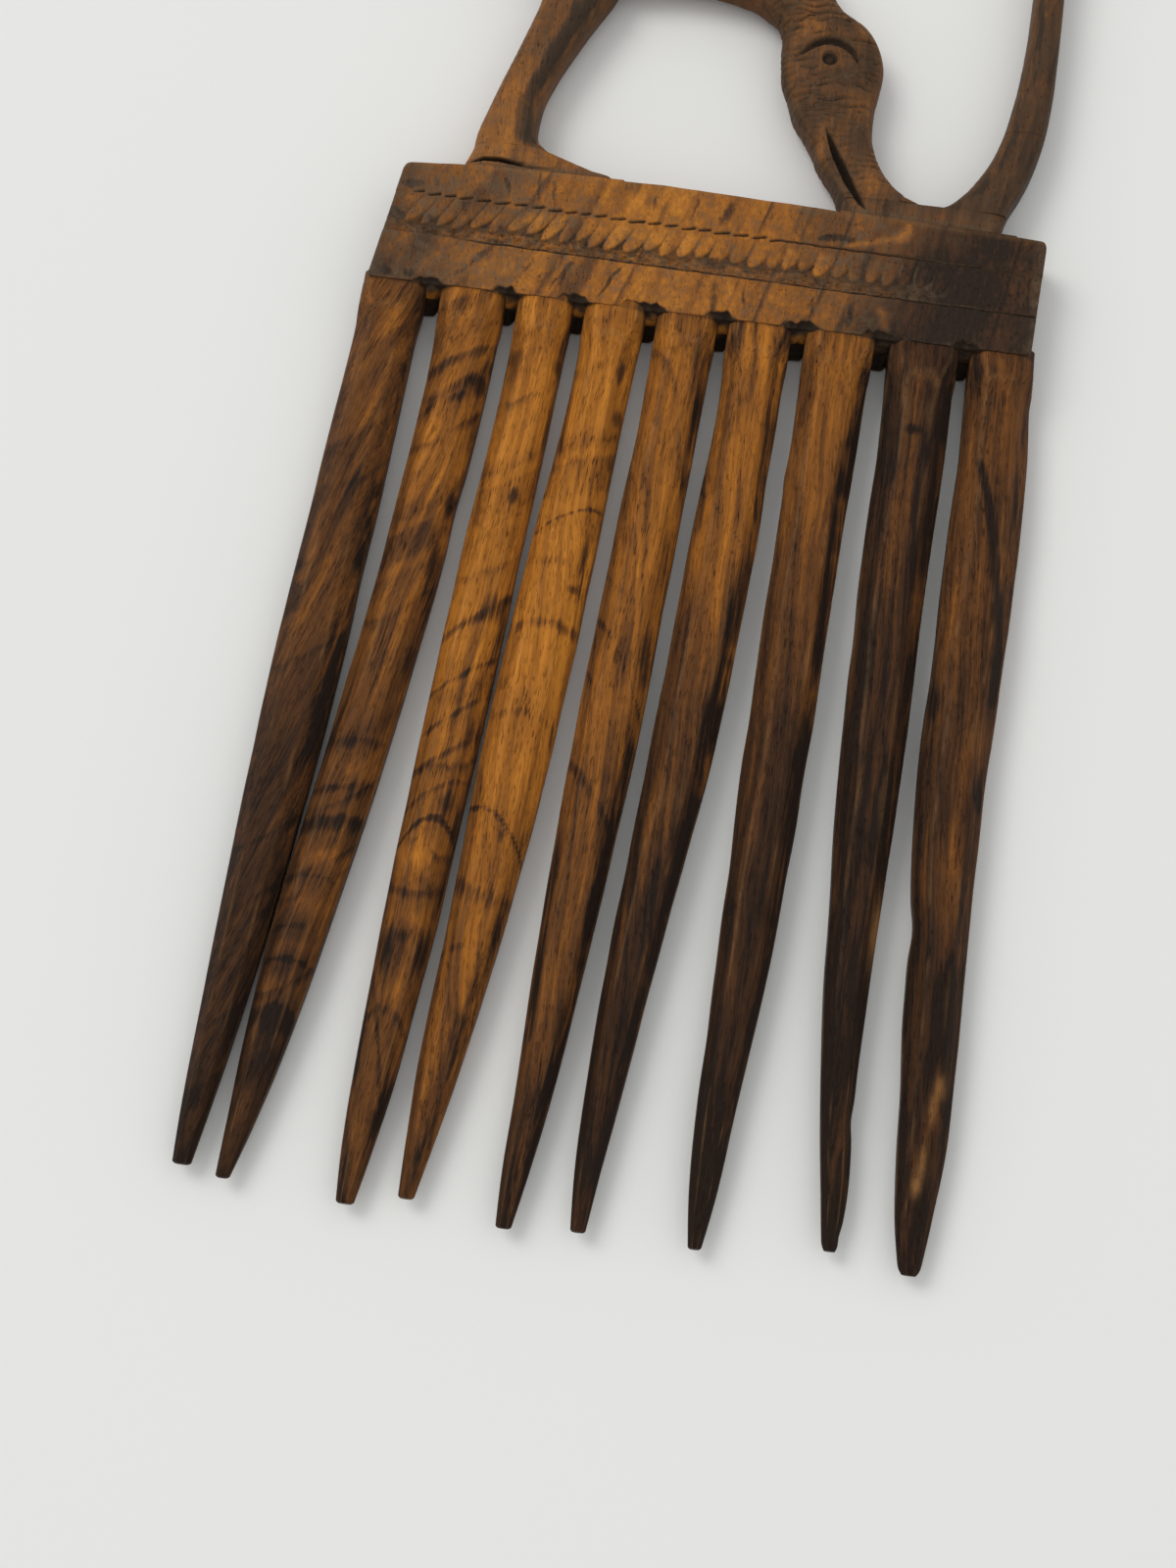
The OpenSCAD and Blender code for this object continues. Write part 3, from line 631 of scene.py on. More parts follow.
def gapWall(z):
    # the end of a gap, seen from the side: a recess, a rib of torn wood, then a sloping toe
    return 0.3 * easeStep(z, 4.4, 5.2) - 0.45 * hump(z - 3.2, 0.8) - 1.3 * easeStep(-z, -2.3, -0.7)


def barRing(share, extra, inset):
    # the section at a share of the length, from its front over the top and back to the wall
    # below: its points, how much of the carving each takes, and which lie on the wall below
    x = -barHalf + share * bar["length"] + extra
    corner, least = bar["cornerRound"], bar["leastRound"]
    away = min(x + barHalf, barHalf - x)
    fall = corner - math.sqrt(max(corner ** 2 - max(corner - away, 0) ** 2, 0))
    wear = 0.5 + 0.5 * noise.noise(Vector((x / 3.1, 2.0, 0.0)))
    ragged = noise.noise(Vector((x / 0.75, 7.0, 0.0))) + noise.noise(Vector((x / 2.4, 9.0, 0.0)))
    slot, atGap = float(slotAt(x)), float(hump(x - gaps, 1.5, 8).max())
    top = float(topY(x)) - fall * 0.8 - inset
    bottom = -barTop + inset + fall * 0.25 + max(0.04 + 0.05 * ragged, 0)
    margin = bar["jointMargin"]
    joined = any(left - margin < x < right + margin for left, right in bar["joined"])
    roundTop = max(bar["round"] * (0.8 + 0.6 * wear) - inset, least)
    roundTop = bar["jointRound"] if joined else roundTop
    roundLow = max(0.07 + 0.06 * wear + slot * (0.75 + 0.35 * ragged) - inset, least)
    roundBack = max(bar["backRound"] - inset, least)
    levels = [bottom + roundLow, bar["lowerLine"] - x * lineFall - bar["lineMargin"],
              bar["upperLine"] - x * lineFall + bar["lineMargin"], top - roundTop]
    counts = (bar["plainRows"], bar["bandRows"], bar["plainRows"] - 1)
    front, back = thick - inset, inset
    ring = [(y, front) for low, high, count in zip(levels, levels[1:], counts)
            for y in low + (high - low) * np.arange(count) / count] + [(levels[3], front)]
    takes = [1.0] * len(ring)
    for t in np.radians([22, 45, 67, 90]):
        ring.append((levels[3] + roundTop * math.sin(t), front - roundTop * (1 - math.cos(t))))
        takes.append(max(1 - t, 0))
    ring += [(top, z) for z in np.linspace(front - roundTop, back + roundBack, 7)[1:]]
    bends = [(roundBack * (1 - math.sin(t)), roundBack * (1 - math.cos(t)))
             for t in np.radians([45, 90])]
    ring += [(top - q, back + p) for p, q in bends]
    ring += [(y, back) for y in np.linspace(top - roundBack, bottom + roundBack, 14)[1:]]
    ring += [(bottom + p + atGap * gapWall(back), back + q) for p, q in bends]
    above = len(ring)
    ring += [(bottom + atGap * gapWall(z) * (1 - easeStep(z, 5.2, 5.8)), z)
             for z in np.linspace(back + roundBack, front - roundLow, 17)[1:]]
    takes += [0.0] * (len(ring) - len(takes))
    for t in np.radians([67, 45, 22]):
        # a worn round edge, or the crisp hollow edge of a slot
        p, q = math.sin(t), 1 - math.cos(t)
        ring.append((levels[0] - roundLow * (p + (q - p) * slot),
                     front - roundLow * (q + (p - q) * slot)))
        takes.append(max(1 - t, 0) * (1 - slot))
    lean = bar["leftLean"] * (1 - share) + bar["rightLean"] * share
    points = [(x + lean * ((y + barTop) / bar["height"] - 0.5), y, z) for y, z in ring]
    return points, takes, [float(i >= above) for i in range(len(ring))]


def buildBar():
    turns = [(bar["endRound"] * (1 - math.sin(a)), bar["endRound"] * (1 - math.cos(a)))
             for a in np.radians([90, 65, 40, 18])]
    rings = [barRing(0, *turn) for turn in turns]
    rings += [barRing(s, bar["endRound"] * (1 - 2 * s), 0)
              for s in np.linspace(0, 1, bar["columns"] + 1)]
    rings += [barRing(1, -extra, inset) for extra, inset in turns[::-1]]
    points, face, below = [np.concatenate(part) for part in zip(*rings)]
    # a board planed by hand: the faces dip a little, the walls wander
    x, y, z = points.T
    dip = ripple(points, (9, 6, 9), 3.1)
    z -= np.where(z > 5.5, bar["faceDip"] * (1 + dip), 0)
    y -= np.where((z > 0.5) & (z < 6.0), np.sign(y) * bar["wallDip"] * (1 + dip), 0)
    # darker towards both ends and a little lighter left of the middle, then the listed strokes
    patch = ripple(points, (7, 4, 7), 21.0)
    tone = 0.36 + 0.5 * easeStep(x + 4.0 * patch + (2.0 - y) * 0.5, 17, 30)
    tone += 0.1 * easeStep(-x, 22, 32) + 0.1 * easeStep(x, 2, 12)
    tone += 0.08 * easeStep(x + y * 0.5, 12, 19)
    tone += 0.3 * easeStep(-x + 2 * patch, 35, 40) - 0.1 * hump(x + 8, 9)
    onFront = easeStep(z, 5.4, 6.0)
    bent = points.copy()
    for axis, seed in enumerate((61.0, 67.0)):
        bent[:, axis] += 0.4 * ripple(points, (1.6, 1.6, 3), seed)
    marks = knifeCuts(bent, barMarks) * onFront
    tone -= knifeCuts(bent, barLights) * onFront
    tone -= 0.3 * easeStep(x, 34, 38) * (0.5 + 0.5 * patch)
    # the wall in the gaps, painted shade: a dark slot, a lighter rib of torn wood, then deep
    # painted shadow
    crumb = ripple(points, (0.8, 0.8, 0.9), 51.0)
    gapRow = hump(x[:, None] - gaps + 0.5, 1.5).max(1)
    torn = hump(z - 3.4 + 0.7 * crumb, 1.1, 4)
    wallShade = below * easeStep(-z, -6.45, -6.1) * (1 - 0.95 * torn)
    wallShade *= np.maximum(0.3 + 0.7 * gapRow, slotAt(x))
    # low on the bar a little darker towards the floor as painted shade, then the wall's painted
    # shade, the rib lighter
    tone += 0.1 * easeStep(-z, -5, -1) + 0.8 * wallShade - 0.3 * below * torn * gapRow
    # darker along the lower edge, most at the gaps: painted shade and dirt
    hollow = easeStep(-y, 6.9, 7.8) * (0.1 + 0.5 * gapRow) * (0.75 + 0.5 * patch)
    greyed = 0.06 + 0.14 * easeStep(-x + 3 * patch, 10, 26) + 0.1 * easeStep(x + 3 * patch, 6, 18)
    greyed = (greyed + 0.16 * crumb + 0.1 * patch) * (1 - easeStep(x, 20, 25))
    hollow = np.clip(np.maximum.reduce([hollow, wallShade, greyed]), 0, 1) * (1 - 0.8 * below * torn)
    values = {
        "front": face, "tone": tone, "figured": np.ones(len(points)),
        "hollow": np.maximum(hollow, 0.3 * easeStep(np.abs(x), 37.2, 39.2)),
        "edge": np.clip(1 - np.abs(y - topY(x) + 0.3) / 0.6, 0, 1) * (z > 5.3),
        "stainAndShade": np.maximum(marks, 0.42 * easeStep(x + 5 * patch - 0.3 * y, 16, 30)),
    }
    piece = makeMesh("carvedBar", points, [], ringFaces(len(rings), points), values, flat=2)
    return runTree(piece, carvedBandTree(), {**bandTree, "Material": barWood})


carvedBar = buildBar()
print("bar ready:", len(carvedBar.data.polygons), "faces")


# The tines: whittled by eye, so each has its own bends and widths.
tine = {
    "length": 107.0, "thickness": 5.9, "tipLift": 1.3, "ringStep": 0.45,
    # how round the tips are up to the seventh tine and after it, and how close their rings lie
    "tipRound": (0.3, 1.1), "tipRings": (0.6, 0.45, 0.3, 0.2, 0.12, 0.06, 0.02),
    "rootSink": 0.3, "rootSwell": 0.66, "rootReach": 6, "intoBar": 1.2, "fatter": 1.035,
    "toneShares": [0, 0.3, 0.55, 1], "frontFrom": (-1.2, 0.2),
    "stations": [0, 0.12, 0.3, 0.5, 0.7, 0.85, 0.94, 1],
    "lifts": [0, 0, 0, 0, 0.06, 0.3, 0.7, 1],
    "girths": [0.97, 1, 1, 0.98, 0.9, 0.7, 0.46, 0.28],
}
tineTree = {"Sides": 64, "Squareness": 2.6, "Facet": 0.93, "Whittle": 0.07, "Softness": 0.1,
            "Flank Stain And Shade": 0.8, "Seed": 1, "Slant": 0.0, "Figured": 1.0, "Flank": 0.55}
# from the sixth tine on the knife left crisper facets
crispKnife = {"Whittle": 0.1, "Softness": 0.045}
# small shifts sideways, slant of the fibres, strength of the rings, for each tine
nudges = [0.3, 0.05, 0.02, 0.06, 0.06, 0.02, -0.02, -0.04, -0.2]
slants = [0.3, 0.2, 0.08, 0.0, 0.02, 0.0, 0.0, 0.0, -0.04]
rings = [0.3, 0.5, 0.45, 0.3, 0.5, 0.55, 0.45, 0.4, 0.25]
# where the right flank's stain and painted shade start, as a cosine, and how dark they are
flankStainAndShade = [(0.6, 0.6), (0.6, 0.6), (0.6, 0.6), (0.6, 0.5), (0.5, 0.75), (0.45, 0.85), (0.45, 0.9),
          (0.55, 0.75), (0.75, 0.6)]
# worn nicks and bulges on the outline: distance from the root, side, depth, half length
nicks = {8: [(92, 1, 0.2, 1.6), (99, 1, -0.3, 5.5), (104.5, 1, 0.15, 1)],
         9: [(70, -1, 0.42, 2.6), (80, -1, -0.15, 4), (72, 1, 0.25, 14)],
         2: [(27, 1, 0.15, 3)], 7: [(18, -1, -0.12, 1.5)]}
# stains (above 0) and light patches (below 0) on the front: distance from the root,
# place across from -1 to 1, half length, half width, strength
patches = {
    1: [(5, 0.2, 5, 0.5, -0.14), (13, -0.4, 5, 0.35, 0.4), (26, 0, 7, 0.9, 0.36),
        (7, 0.2, 7, 0.7, 0.14), (50, 0.85, 14, 0.35, 0.9), (42, -0.2, 8, 0.4, -0.12),
        (18, 0.4, 3, 0.5, -0.08)],
    2: [(3, -0.2, 3.5, 0.25, 0.5), (11.5, 0.7, 1.5, 0.35, 1.1), (27, 0.8, 2, 0.3, 1),
        (36, 0.8, 5, 0.3, 0.8), (47, 0.2, 8, 0.9, 0.5), (63, 0.6, 3, 0.4, 0.7),
        (58, -0.8, 9, 0.3, 0.6), (22, 0, 7, 0.8, -0.16), (71, 0.1, 1.3, 0.8, -0.22),
        (76.5, 0, 1.6, 0.7, -0.2), (81.4, 0, 0.8, 0.7, -0.14), (86, 0, 1.3, 0.7, -0.22),
        (60.4, 0.1, 1.2, 0.8, -0.12), (98, 0, 4, 0.4, -0.15)],
    3: [(8, 0.85, 1.6, 0.2, 0.9), (20, 0.65, 2.2, 0.2, 0.6), (25.5, 0.35, 1.5, 0.22, 1.2),
        (39.5, 0.6, 2.6, 0.45, 0.9), (54.5, 0.75, 2.5, 0.3, 0.7), (63, 0.4, 2.2, 0.4, 0.7),
        (80, -0.6, 4, 0.35, 0.8), (80, 0.7, 4, 0.35, 0.8), (97, 0.8, 5, 0.4, 0.9),
        (92, -0.9, 5, 0.25, 0.8), (104, -0.6, 2, 0.4, 0.7), (69.5, 0, 2.2, 0.7, -0.24),
        (76.5, 0, 1.2, 0.7, -0.16), (85, 0, 2, 0.5, -0.18), (94, -0.1, 6, 0.35, -0.15)],
    4: [(8, 0.6, 1.8, 0.16, 1), (13.5, 0.8, 1.6, 0.2, 0.9), (32, 0.65, 3.5, 0.12, 0.8),
        (36, 0.6, 0.8, 0.25, 1), (41, 0.7, 1.2, 0.3, 1), (66, 0.2, 1.2, 0.2, 0.7),
        (77, 0.75, 6, 0.25, 0.7), (88, 0.5, 9, 0.35, 0.6), (101, 0.3, 5, 0.6, 0.6),
        (20, -0.85, 12, 0.2, 0.55), (58, -0.1, 4, 0.7, -0.08)],
    5: [(8, 0.55, 6, 0.16, 0.8), (16, -0.7, 4, 0.15, 0.5), (31, 0.8, 8, 0.3, 0.8),
        (42, 0.75, 5, 0.3, 0.8), (59, 0.7, 6, 0.35, 0.7), (70, 0.8, 6, 0.3, 0.9),
        (70, -0.9, 8, 0.25, 0.8), (84, -0.75, 13, 0.3, 0.8), (93, 0.6, 6, 0.5, 0.9),
        (103, 0, 4, 0.8, 0.6), (80, 0, 13, 0.28, -0.2), (52, -0.15, 8, 0.45, -0.16),
        (28, -0.2, 9, 0.5, -0.06)],
    6: [(2, -0.8, 5, 0.3, 0.6), (2, 0.9, 6, 0.25, 0.8), (10, -0.2, 1.5, 0.4, 0.4),
        (14, 0.85, 6, 0.2, 0.7), (34, 0.75, 9, 0.32, 0.95), (49, 0.6, 8, 0.4, 0.8),
        (4, 0.1, 3.5, 0.45, -0.12), (60, -0.4, 9, 0.2, -0.29), (68, -0.15, 4, 0.14, -0.2),
        (18, 0, 5, 0.5, -0.08)],
    7: [(12, 0.9, 13, 0.25, 0.8), (35, 0.85, 12, 0.3, 0.9), (58, 0.8, 10, 0.3, 0.7),
        (70.5, -0.85, 0.9, 0.3, 1.6), (8, -0.1, 7, 0.4, -0.1), (24, -0.1, 6, 0.3, -0.1)],
    8: [(11, -0.1, 1, 0.3, 1.3), (58, 0.5, 10, 0.5, 0.9), (76, 0.2, 10, 0.6, 0.7),
        (71, 0.9, 4, 0.2, -0.45), (33, 0.75, 5, 0.25, -0.22), (22, -0.2, 8, 0.3, -0.16)],
    9: [(3, -0.8, 5, 0.3, 0.8), (44, -0.8, 4, 0.3, 0.8), (53, 0.8, 4, 0.3, 0.7),
        (78, 0.3, 6, 0.5, 1), (92, -0.7, 3, 0.3, 0.8), (87.4, 0.4, 1.3, 0.2, -0.33),
        (89.6, 0.2, 1.6, 0.14, -0.31), (95.8, 0, 1.8, 0.18, -0.32), (98.2, -0.1, 1, 0.2, -0.31),
        (92, 0.1, 3, 0.2, -0.2), (26, -0.55, 9, 0.35, -0.2), (14, 0.5, 7, 0.4, -0.08),
        (48, 0.5, 3, 0.3, -0.2), (64, 0.2, 6, 0.25, -0.22), (16, 0.7, 12, 0.4, 0.45)],
}
# rings that the photo shows clearly: distance from the root at the left edge, middle and right
# edge, thickness, strength
arcs = {
    2: [(10.8, 8.8, 6, 0.9, 0.75), (16.5, 14.2, 12, 0.7, 0.7), (20, 19, 17.5, 0.4, 0.4),
        (58, 57.4, 57, 0.9, 0.6), (63.5, 62.8, 62, 0.6, 0.7), (67.6, 66.8, 66.4, 1, 0.8),
        (74, 73.2, 74, 0.4, 0.6), (79.8, 79, 79.6, 0.4, 0.6), (83.4, 82.8, 83.6, 0.4, 0.75),
        (90, 88.8, 89.8, 1.4, 0.95)],
    3: [(25, 20.5, 17, 0.35, 0.5), (34, 29.5, 26.5, 0.35, 0.5), (43.6, 41, 37.2, 0.8, 0.85),
        (50.5, 48, 45, 0.45, 0.7), (55.5, 52.8, 49.5, 0.5, 0.7), (60, 57.5, 54.5, 0.6, 0.7),
        (64.5, 61.5, 60, 0.5, 0.6), (69, 65, 67.5, 0.4, 0.95), (73, 73.8, 72.8, 0.7, 0.6),
        (79.5, 78.5, 80, 0.8, 0.5), (88.5, 86.8, 90, 0.8, 0.7), (97, 93, 100, 0.6, 0.5)],
    4: [(29.5, 26.8, 25.5, 0.25, 0.8), (41.2, 40.4, 41, 0.8, 0.62), (52.5, 51.4, 53, 0.7, 0.5),
        (63, 64, 68.8, 0.35, 0.85), (71.5, 73, 73.5, 1.2, 0.62), (80, 79, 81.5, 0.6, 0.5)],
    5: [(33, 38, 46, 0.5, 0.6), (38.5, 43.5, 51, 0.5, 0.7), (45, 51, 58, 0.6, 0.65),
        (56, 60, 65, 0.9, 0.75), (71, 76, 83, 0.6, 0.5)],
    6: [(21, 25.5, 30, 0.4, 0.6), (47, 52, 58, 0.5, 0.5)],
}
# dark veins that run lengthwise: points as distance from the root and place across, half width
veins = {
    9: ([(12.5, -0.5), (15, -0.34), (19, -0.06), (24, 0.24), (30, 0.5), (36, 0.68), (45, 0.86)],
        0.19),
}
# length, step at the root, tones from root to tip, bends, widths
tines = [
    (0.992, 0.4, (0.54, 0.66, 0.78, 1), [0, -0.07, -0.185, -0.32, -0.458, -0.578, -0.668, -0.723],
     [0.99, 1, 1.04, 1.04, 0.83, 0.61, 0.43, 0.27]),
    (1, 0.25, (0.4, 0.45, 0.64, 0.95), [0, -0.05, -0.21, -0.47, -0.785, -1.02, -1.16, -1.27],
     [1.02, 0.98, 0.95, 0.93, 0.865, 0.665, 0.41, 0.2]),
    (1.009, 0.15, (0.3, 0.28, 0.4, 0.74), [0, -0.06, -0.21, -0.35, -0.49, -0.605, -0.69, -0.74],
     [0.87, 0.87, 0.91, 0.9, 0.82, 0.655, 0.46, 0.26]),
    (0.996, 0.1, (0.28, 0.18, 0.24, 0.68), [0, -0.08, -0.245, -0.42, -0.6, -0.785, -0.89, -0.96],
     [0.955, 0.915, 1.035, 1.06, 0.865, 0.65, 0.42, 0.23]),
    (1.012, 0.15, (0.34, 0.38, 0.52, 0.88), [0, -0.06, -0.19, -0.32, -0.465, -0.57, -0.665, -0.72],
     [0.955, 0.955, 0.97, 0.97, 0.79, 0.57, 0.41, 0.23]),
    (1.006, 0.25, (0.38, 0.4, 0.78, 1.02), [0, -0.045, -0.155, -0.32, -0.56, -0.71, -0.78, -0.805],
     [0.995, 0.995, 1.02, 0.95, 0.75, 0.545, 0.39, 0.22]),
    (1.007, 0.3, (0.42, 0.62, 0.84, 1.04), [0, -0.055, -0.135, -0.21, -0.3, -0.41, -0.455, -0.48],
     [1.09, 1.035, 0.995, 0.96, 0.79, 0.595, 0.41, 0.19]),
    (0.991, 0.4, (0.86, 0.84, 0.92, 1.05), [0, -0.02, -0.09, -0.11, -0.135, -0.085, -0.03, 0],
     [1.09, 1.05, 1.02, 0.935, 0.7, 0.49, 0.35, 0.22]),
    (1.004, 0.45, (0.68, 0.66, 0.76, 0.98), [0, 0.015, -0.04, -0.12, -0.08, -0.06, -0.08, -0.07],
     [0.995, 1.065, 1.105, 1.02, 0.865, 0.75, 0.545, 0.3]),
]
facetAngles = [90, 40, 140, 0, 180, -45, -135, -90]


def whittledTineTree():
    # sweeps a faceted section along a path that carries its own half widths and heights
    tree, given, finish = newGeometryTree("whittledTine", tineTree)
    position = makeNode(tree, "GeometryNodeInputPosition")[0]
    path = makeNode(tree, "GeometryNodeMeshToCurve", {"Mesh": given("Geometry")})[0]
    path = store(path, "centre", position, "FLOAT_VECTOR")
    circle = makeNode(tree, "GeometryNodeCurvePrimitiveCircle",
                      {"Resolution": given("Sides"), "Radius": 1.0})[0]
    section = store(circle, "round", position, "FLOAT_VECTOR")
    tube = makeNode(tree, "GeometryNodeCurveToMesh",
                    {"Curve": path, "Profile Curve": section, "Fill Caps": True})[0]

    roundX, roundY = splitVector(recall(tree, "round", "FLOAT_VECTOR"))[:2]
    angle = roundY.step("ARCTAN2", roundX)
    cosine, sine = angle.step("COSINE"), angle.step("SINE")
    run = recall(tree, "run")
    # squarer where the tine grows out of the bar
    atRoot = 1.0 - run.ease(0.0, 6.0)
    power = given("Squareness") + atRoot * 1.6
    base = (cosine.size() ** power + sine.size() ** power) ** (power ** -1.0 * -1.0)
    seed = given("Seed") * 5.3
    near, first, second = base, base, base + 1.0
    for i, degrees in enumerate(facetAngles):
        turned = (angle - math.radians(degrees)).step("COSINE").most(0.12)
        wobble = noise1d(run * 0.055 + seed + i * 9.1, 1.0) - 0.5
        reach = given("Facet") + wobble * given("Whittle") * 2.0 + atRoot * 0.22
        reach = reach + {0: 0.05, 180: 0.05, 90: -0.02}.get(degrees, 0.0)
        away = reach / turned
        second = second.least(first.most(away))
        first = first.least(away)
        near = near.step("SMOOTH_MIN", away, given("Softness"))
    across = near * cosine * recall(tree, "halfWidth")
    up = near * sine * recall(tree, "halfHeight")
    place = makeNode(tree, "ShaderNodeVectorMath", {
        0: recall(tree, "centre", "FLOAT_VECTOR"), 1: joinVector(tree, across, 0.0, up)})[0]
    geometry = makeNode(tree, "GeometryNodeSetPosition", {"Geometry": tube, "Position": place})[0]

    ridge = (1.0 - (second - first) / 0.035).clamp() * sine.ease(0.05, 0.3)
    # the right flank is stained and darkened as painted shade, in places only
    flank = ((cosine - given("Flank")) * 3.6).clamp()
    stainAndShade = flank * (noise1d(run * 0.16 + seed + 3.0, 2.0) * 1.5 - 0.05)
    # painted shade and dirt where the tine grows out under the bar, most on its flanks, with a thin
    # dark crack
    rootDirt = (1.0 - run.ease(0.0, 4.0)) * (cosine.size().ease(0.6, 0.95) * 0.55 + 0.04)
    crack = (1.0 - run.ease(0.0, 0.35)) * noise1d(angle * 2.5 + seed, 1.0)
    rootDirt = rootDirt + crack * (cosine.ease(-0.5, 0.7) * 1.1 + 0.25)
    found = {"edge": ridge, "stainAndShade": stainAndShade.most(0.0) * given("Flank Stain And Shade"),
             # the left flank a little darker: painted shade
             "tone": recall(tree, "tone") + (cosine * -1.0).ease(0.6, 0.95) * 0.1,
             "slant": given("Slant"), "figured": given("Figured"), "hollow": rootDirt.clamp()}
    for name, value in found.items():
        geometry = store(geometry, name, value)
    for name in ("round", "centre", "halfWidth", "halfHeight", "run"):
        geometry = makeNode(tree, "GeometryNodeRemoveAttribute",
                            {"Geometry": geometry, "Name": name})[0]
    return finish(*makeNode(tree, "GeometryNodeSetShadeSmooth", {"Geometry": geometry}))


def tinePath(number):
    # the line that the tree sweeps along, from a little way inside the bar to the tip
    share, step, tones, bends, widths = tines[number - 1]
    width = pitch - bar["gap"]
    rows = []
    for i, station in enumerate(tine["stations"]):
        y = -barTop - station * share * tine["length"]
        x = roots[number - 1] + nudges[number - 1] + bends[i] * pitch
        half = widths[i] * width / 2
        back = tine["lifts"][i] * tine["tipLift"]
        rows.append([x - half, y, x + half, y, back, back + tine["girths"][i] * tine["thickness"]])
    dense = denseRows(rows, tine["ringStep"])[0]
    tip = dense[-1, 1]
    # a few close rings for the cut or rounded tip
    blunt = tine["tipRound"][number > 7]
    extra = [[np.interp(-(tip + d), -dense[:, 1], column) for column in dense.T]
             for d in tine["tipRings"]]
    dense = np.array(sorted([*dense, *extra], key=lambda row: -row[1]))
    left, y, right, y, back, front = dense.T
    back = np.maximum(back, 0)
    run = -barTop - y
    for place, side, deep, reach in nicks.get(number, []):
        (right if side > 0 else left)[:] -= side * deep * hump(run - place, reach)
    pinch = np.sqrt(1 - (np.clip((blunt - (y - tip)) / blunt, 0, 1) ** 2) * 0.55)
    # the front starts a little under the bar's and swells over a rounded shoulder
    sink = tine["rootSink"] * step * hump(run, 1, 1.5) + 0.05 * hump(run, 0.3)
    height = front - back + tine["rootSwell"] * hump(run, tine["rootReach"]) - sink
    centre = np.stack([(left + right) / 2, y, back + height / 2], axis=1)
    centre = np.vstack([centre[0] + [0, tine["intoBar"], 0], centre])
    halfWidth, halfHeight, run, tone = [
        np.concatenate([values[:1], values])
        for values in ((right - left) / 2 * pinch * tine["fatter"], height / 2 * pinch, run,
                       np.interp(run / run[-1], tine["toneShares"], tones))]
    path = makeMesh(f"whittledTine{number}", centre,
                    edges=[(i, i + 1) for i in range(len(centre) - 1)],
                    values={"halfWidth": halfWidth * mm, "halfHeight": halfHeight * mm,
                            "run": run, "tone": tone})
    return path, centre[::-1], halfWidth[::-1]


def stainFront(piece, number, centre, halfWidth):
    # adds this tine's own stains and light patches to what the tree has stored
    count = len(piece.data.vertices)
    spots = np.zeros(count * 3)
    piece.data.vertices.foreach_get("co", spots)
    x, y, z = (spots / mm).reshape(-1, 3).T
    across = (x - np.interp(y, centre[:, 1], centre[:, 0])) / np.interp(y, centre[:, 1], halfWidth)
    front = easeStep(z - np.interp(y, centre[:, 1], centre[:, 2]), *tine["frontFrom"])
    run = -barTop - y
    found = {key: np.zeros(count) for key in ("tone", "stainAndShade", "edge")}
    for key, numbers in found.items():
        piece.data.attributes[key].data.foreach_get("value", numbers)
    tone, stainAndShade, edge = found.values()
    flat = np.clip(across, -1, 1)
    for left, middle, right, thin, strength in arcs.get(number, []):
        off = run - (middle + (right - left) / 2 * flat + ((left + right) / 2 - middle) * flat ** 2)
        band = hump(off, np.where(off > 0, 1.7 * thin, thin)) * front
        np.maximum(stainAndShade, strength * band, out=stainAndShade)
    if number in veins:
        line, half = np.array(veins[number][0]), veins[number][1]
        first, last = line[0, 0], line[-1, 0]
        inside = easeStep(run, first, first + 2) * easeStep(-run, -last, 3 - last) * front
        vein = hump(across - np.interp(run, line[:, 0], line[:, 1]), half) * inside
        np.maximum(stainAndShade, vein, out=stainAndShade)
    for place, middle, reach, half, strength in patches[number]:
        spot = hump(run - place, reach) * hump(across - middle, half) * front
        if strength > 0:
            np.maximum(stainAndShade, strength * spot, out=stainAndShade)
        else:
            tone += strength * spot
            stainAndShade *= 1 - 0.8 * spot
            if strength < -0.3:
                # so light that it reads as bare, rubbed wood
                np.maximum(edge, 2.2 * spot, out=edge)
    for key, numbers in found.items():
        piece.data.attributes[key].data.foreach_set("value", numbers)


whittle = whittledTineTree()
tinePieces = []
for number in range(1, 10):
    piece, centre, halfWidth = tinePath(number)
    start, flankDarkness = flankStainAndShade[number - 1]
    settings = {**tineTree, **(crispKnife if number > 5 else {}), "Material": tineWood,
                "Seed": number * 3, "Flank": start, "Flank Stain And Shade": flankDarkness,
                "Slant": slants[number - 1], "Figured": rings[number - 1]}
    runTree(piece, whittle, settings)
    stainFront(piece, number, centre, halfWidth)
    for face in piece.data.polygons:
        if len(face.vertices) > 4:
            face.use_smooth = False
    tinePieces.append(piece)
print("tines ready:", sum(len(piece.data.polygons) for piece in tinePieces), "faces")


# The handle: foot, leg, bird and hoop, each a smooth skin over a table of sections.
handle = {
    "legX": -27.0, "legWidth": 7.4, "footHeight": 3.5, "bellyRise": 29.8,
    "headGap": 25.95, "strapInset": 1.7, "strapWidth": 3.9, "strapSwing": 35.0,
    "archSpring": 61.0, "archRise": 22.0, "archSteps": 18, "crownWidth": 5.0, "webHeight": 2.7,
    "bodyLength": 25.4, "bodyHeight": 24.0, "headWidth": 13.2,
    "legDepth": (0.08, 0.93), "strapDepth": (0.12, 0.9), "birdDepth": (0.03, 0.99),
    "footDepth": (0.08, 0.99), "footTaper": 0.06, "legSink": 0.42, "webInset": 0.3,
    "neckShare": 1.31, "tailShare": 1.2, "headDrop": 0.1,
    # how square the sections are, from 2 for an oval
    "birdSquare": 2.5, "hoopSquare": 3.2, "jointSquare": 6.0, "webSquare": 7.0, "footSquare": 8.0,
    "ringStep": 0.4, "carvedStep": 0.2, "footStep": 0.14, "legStep": 0.3,
}
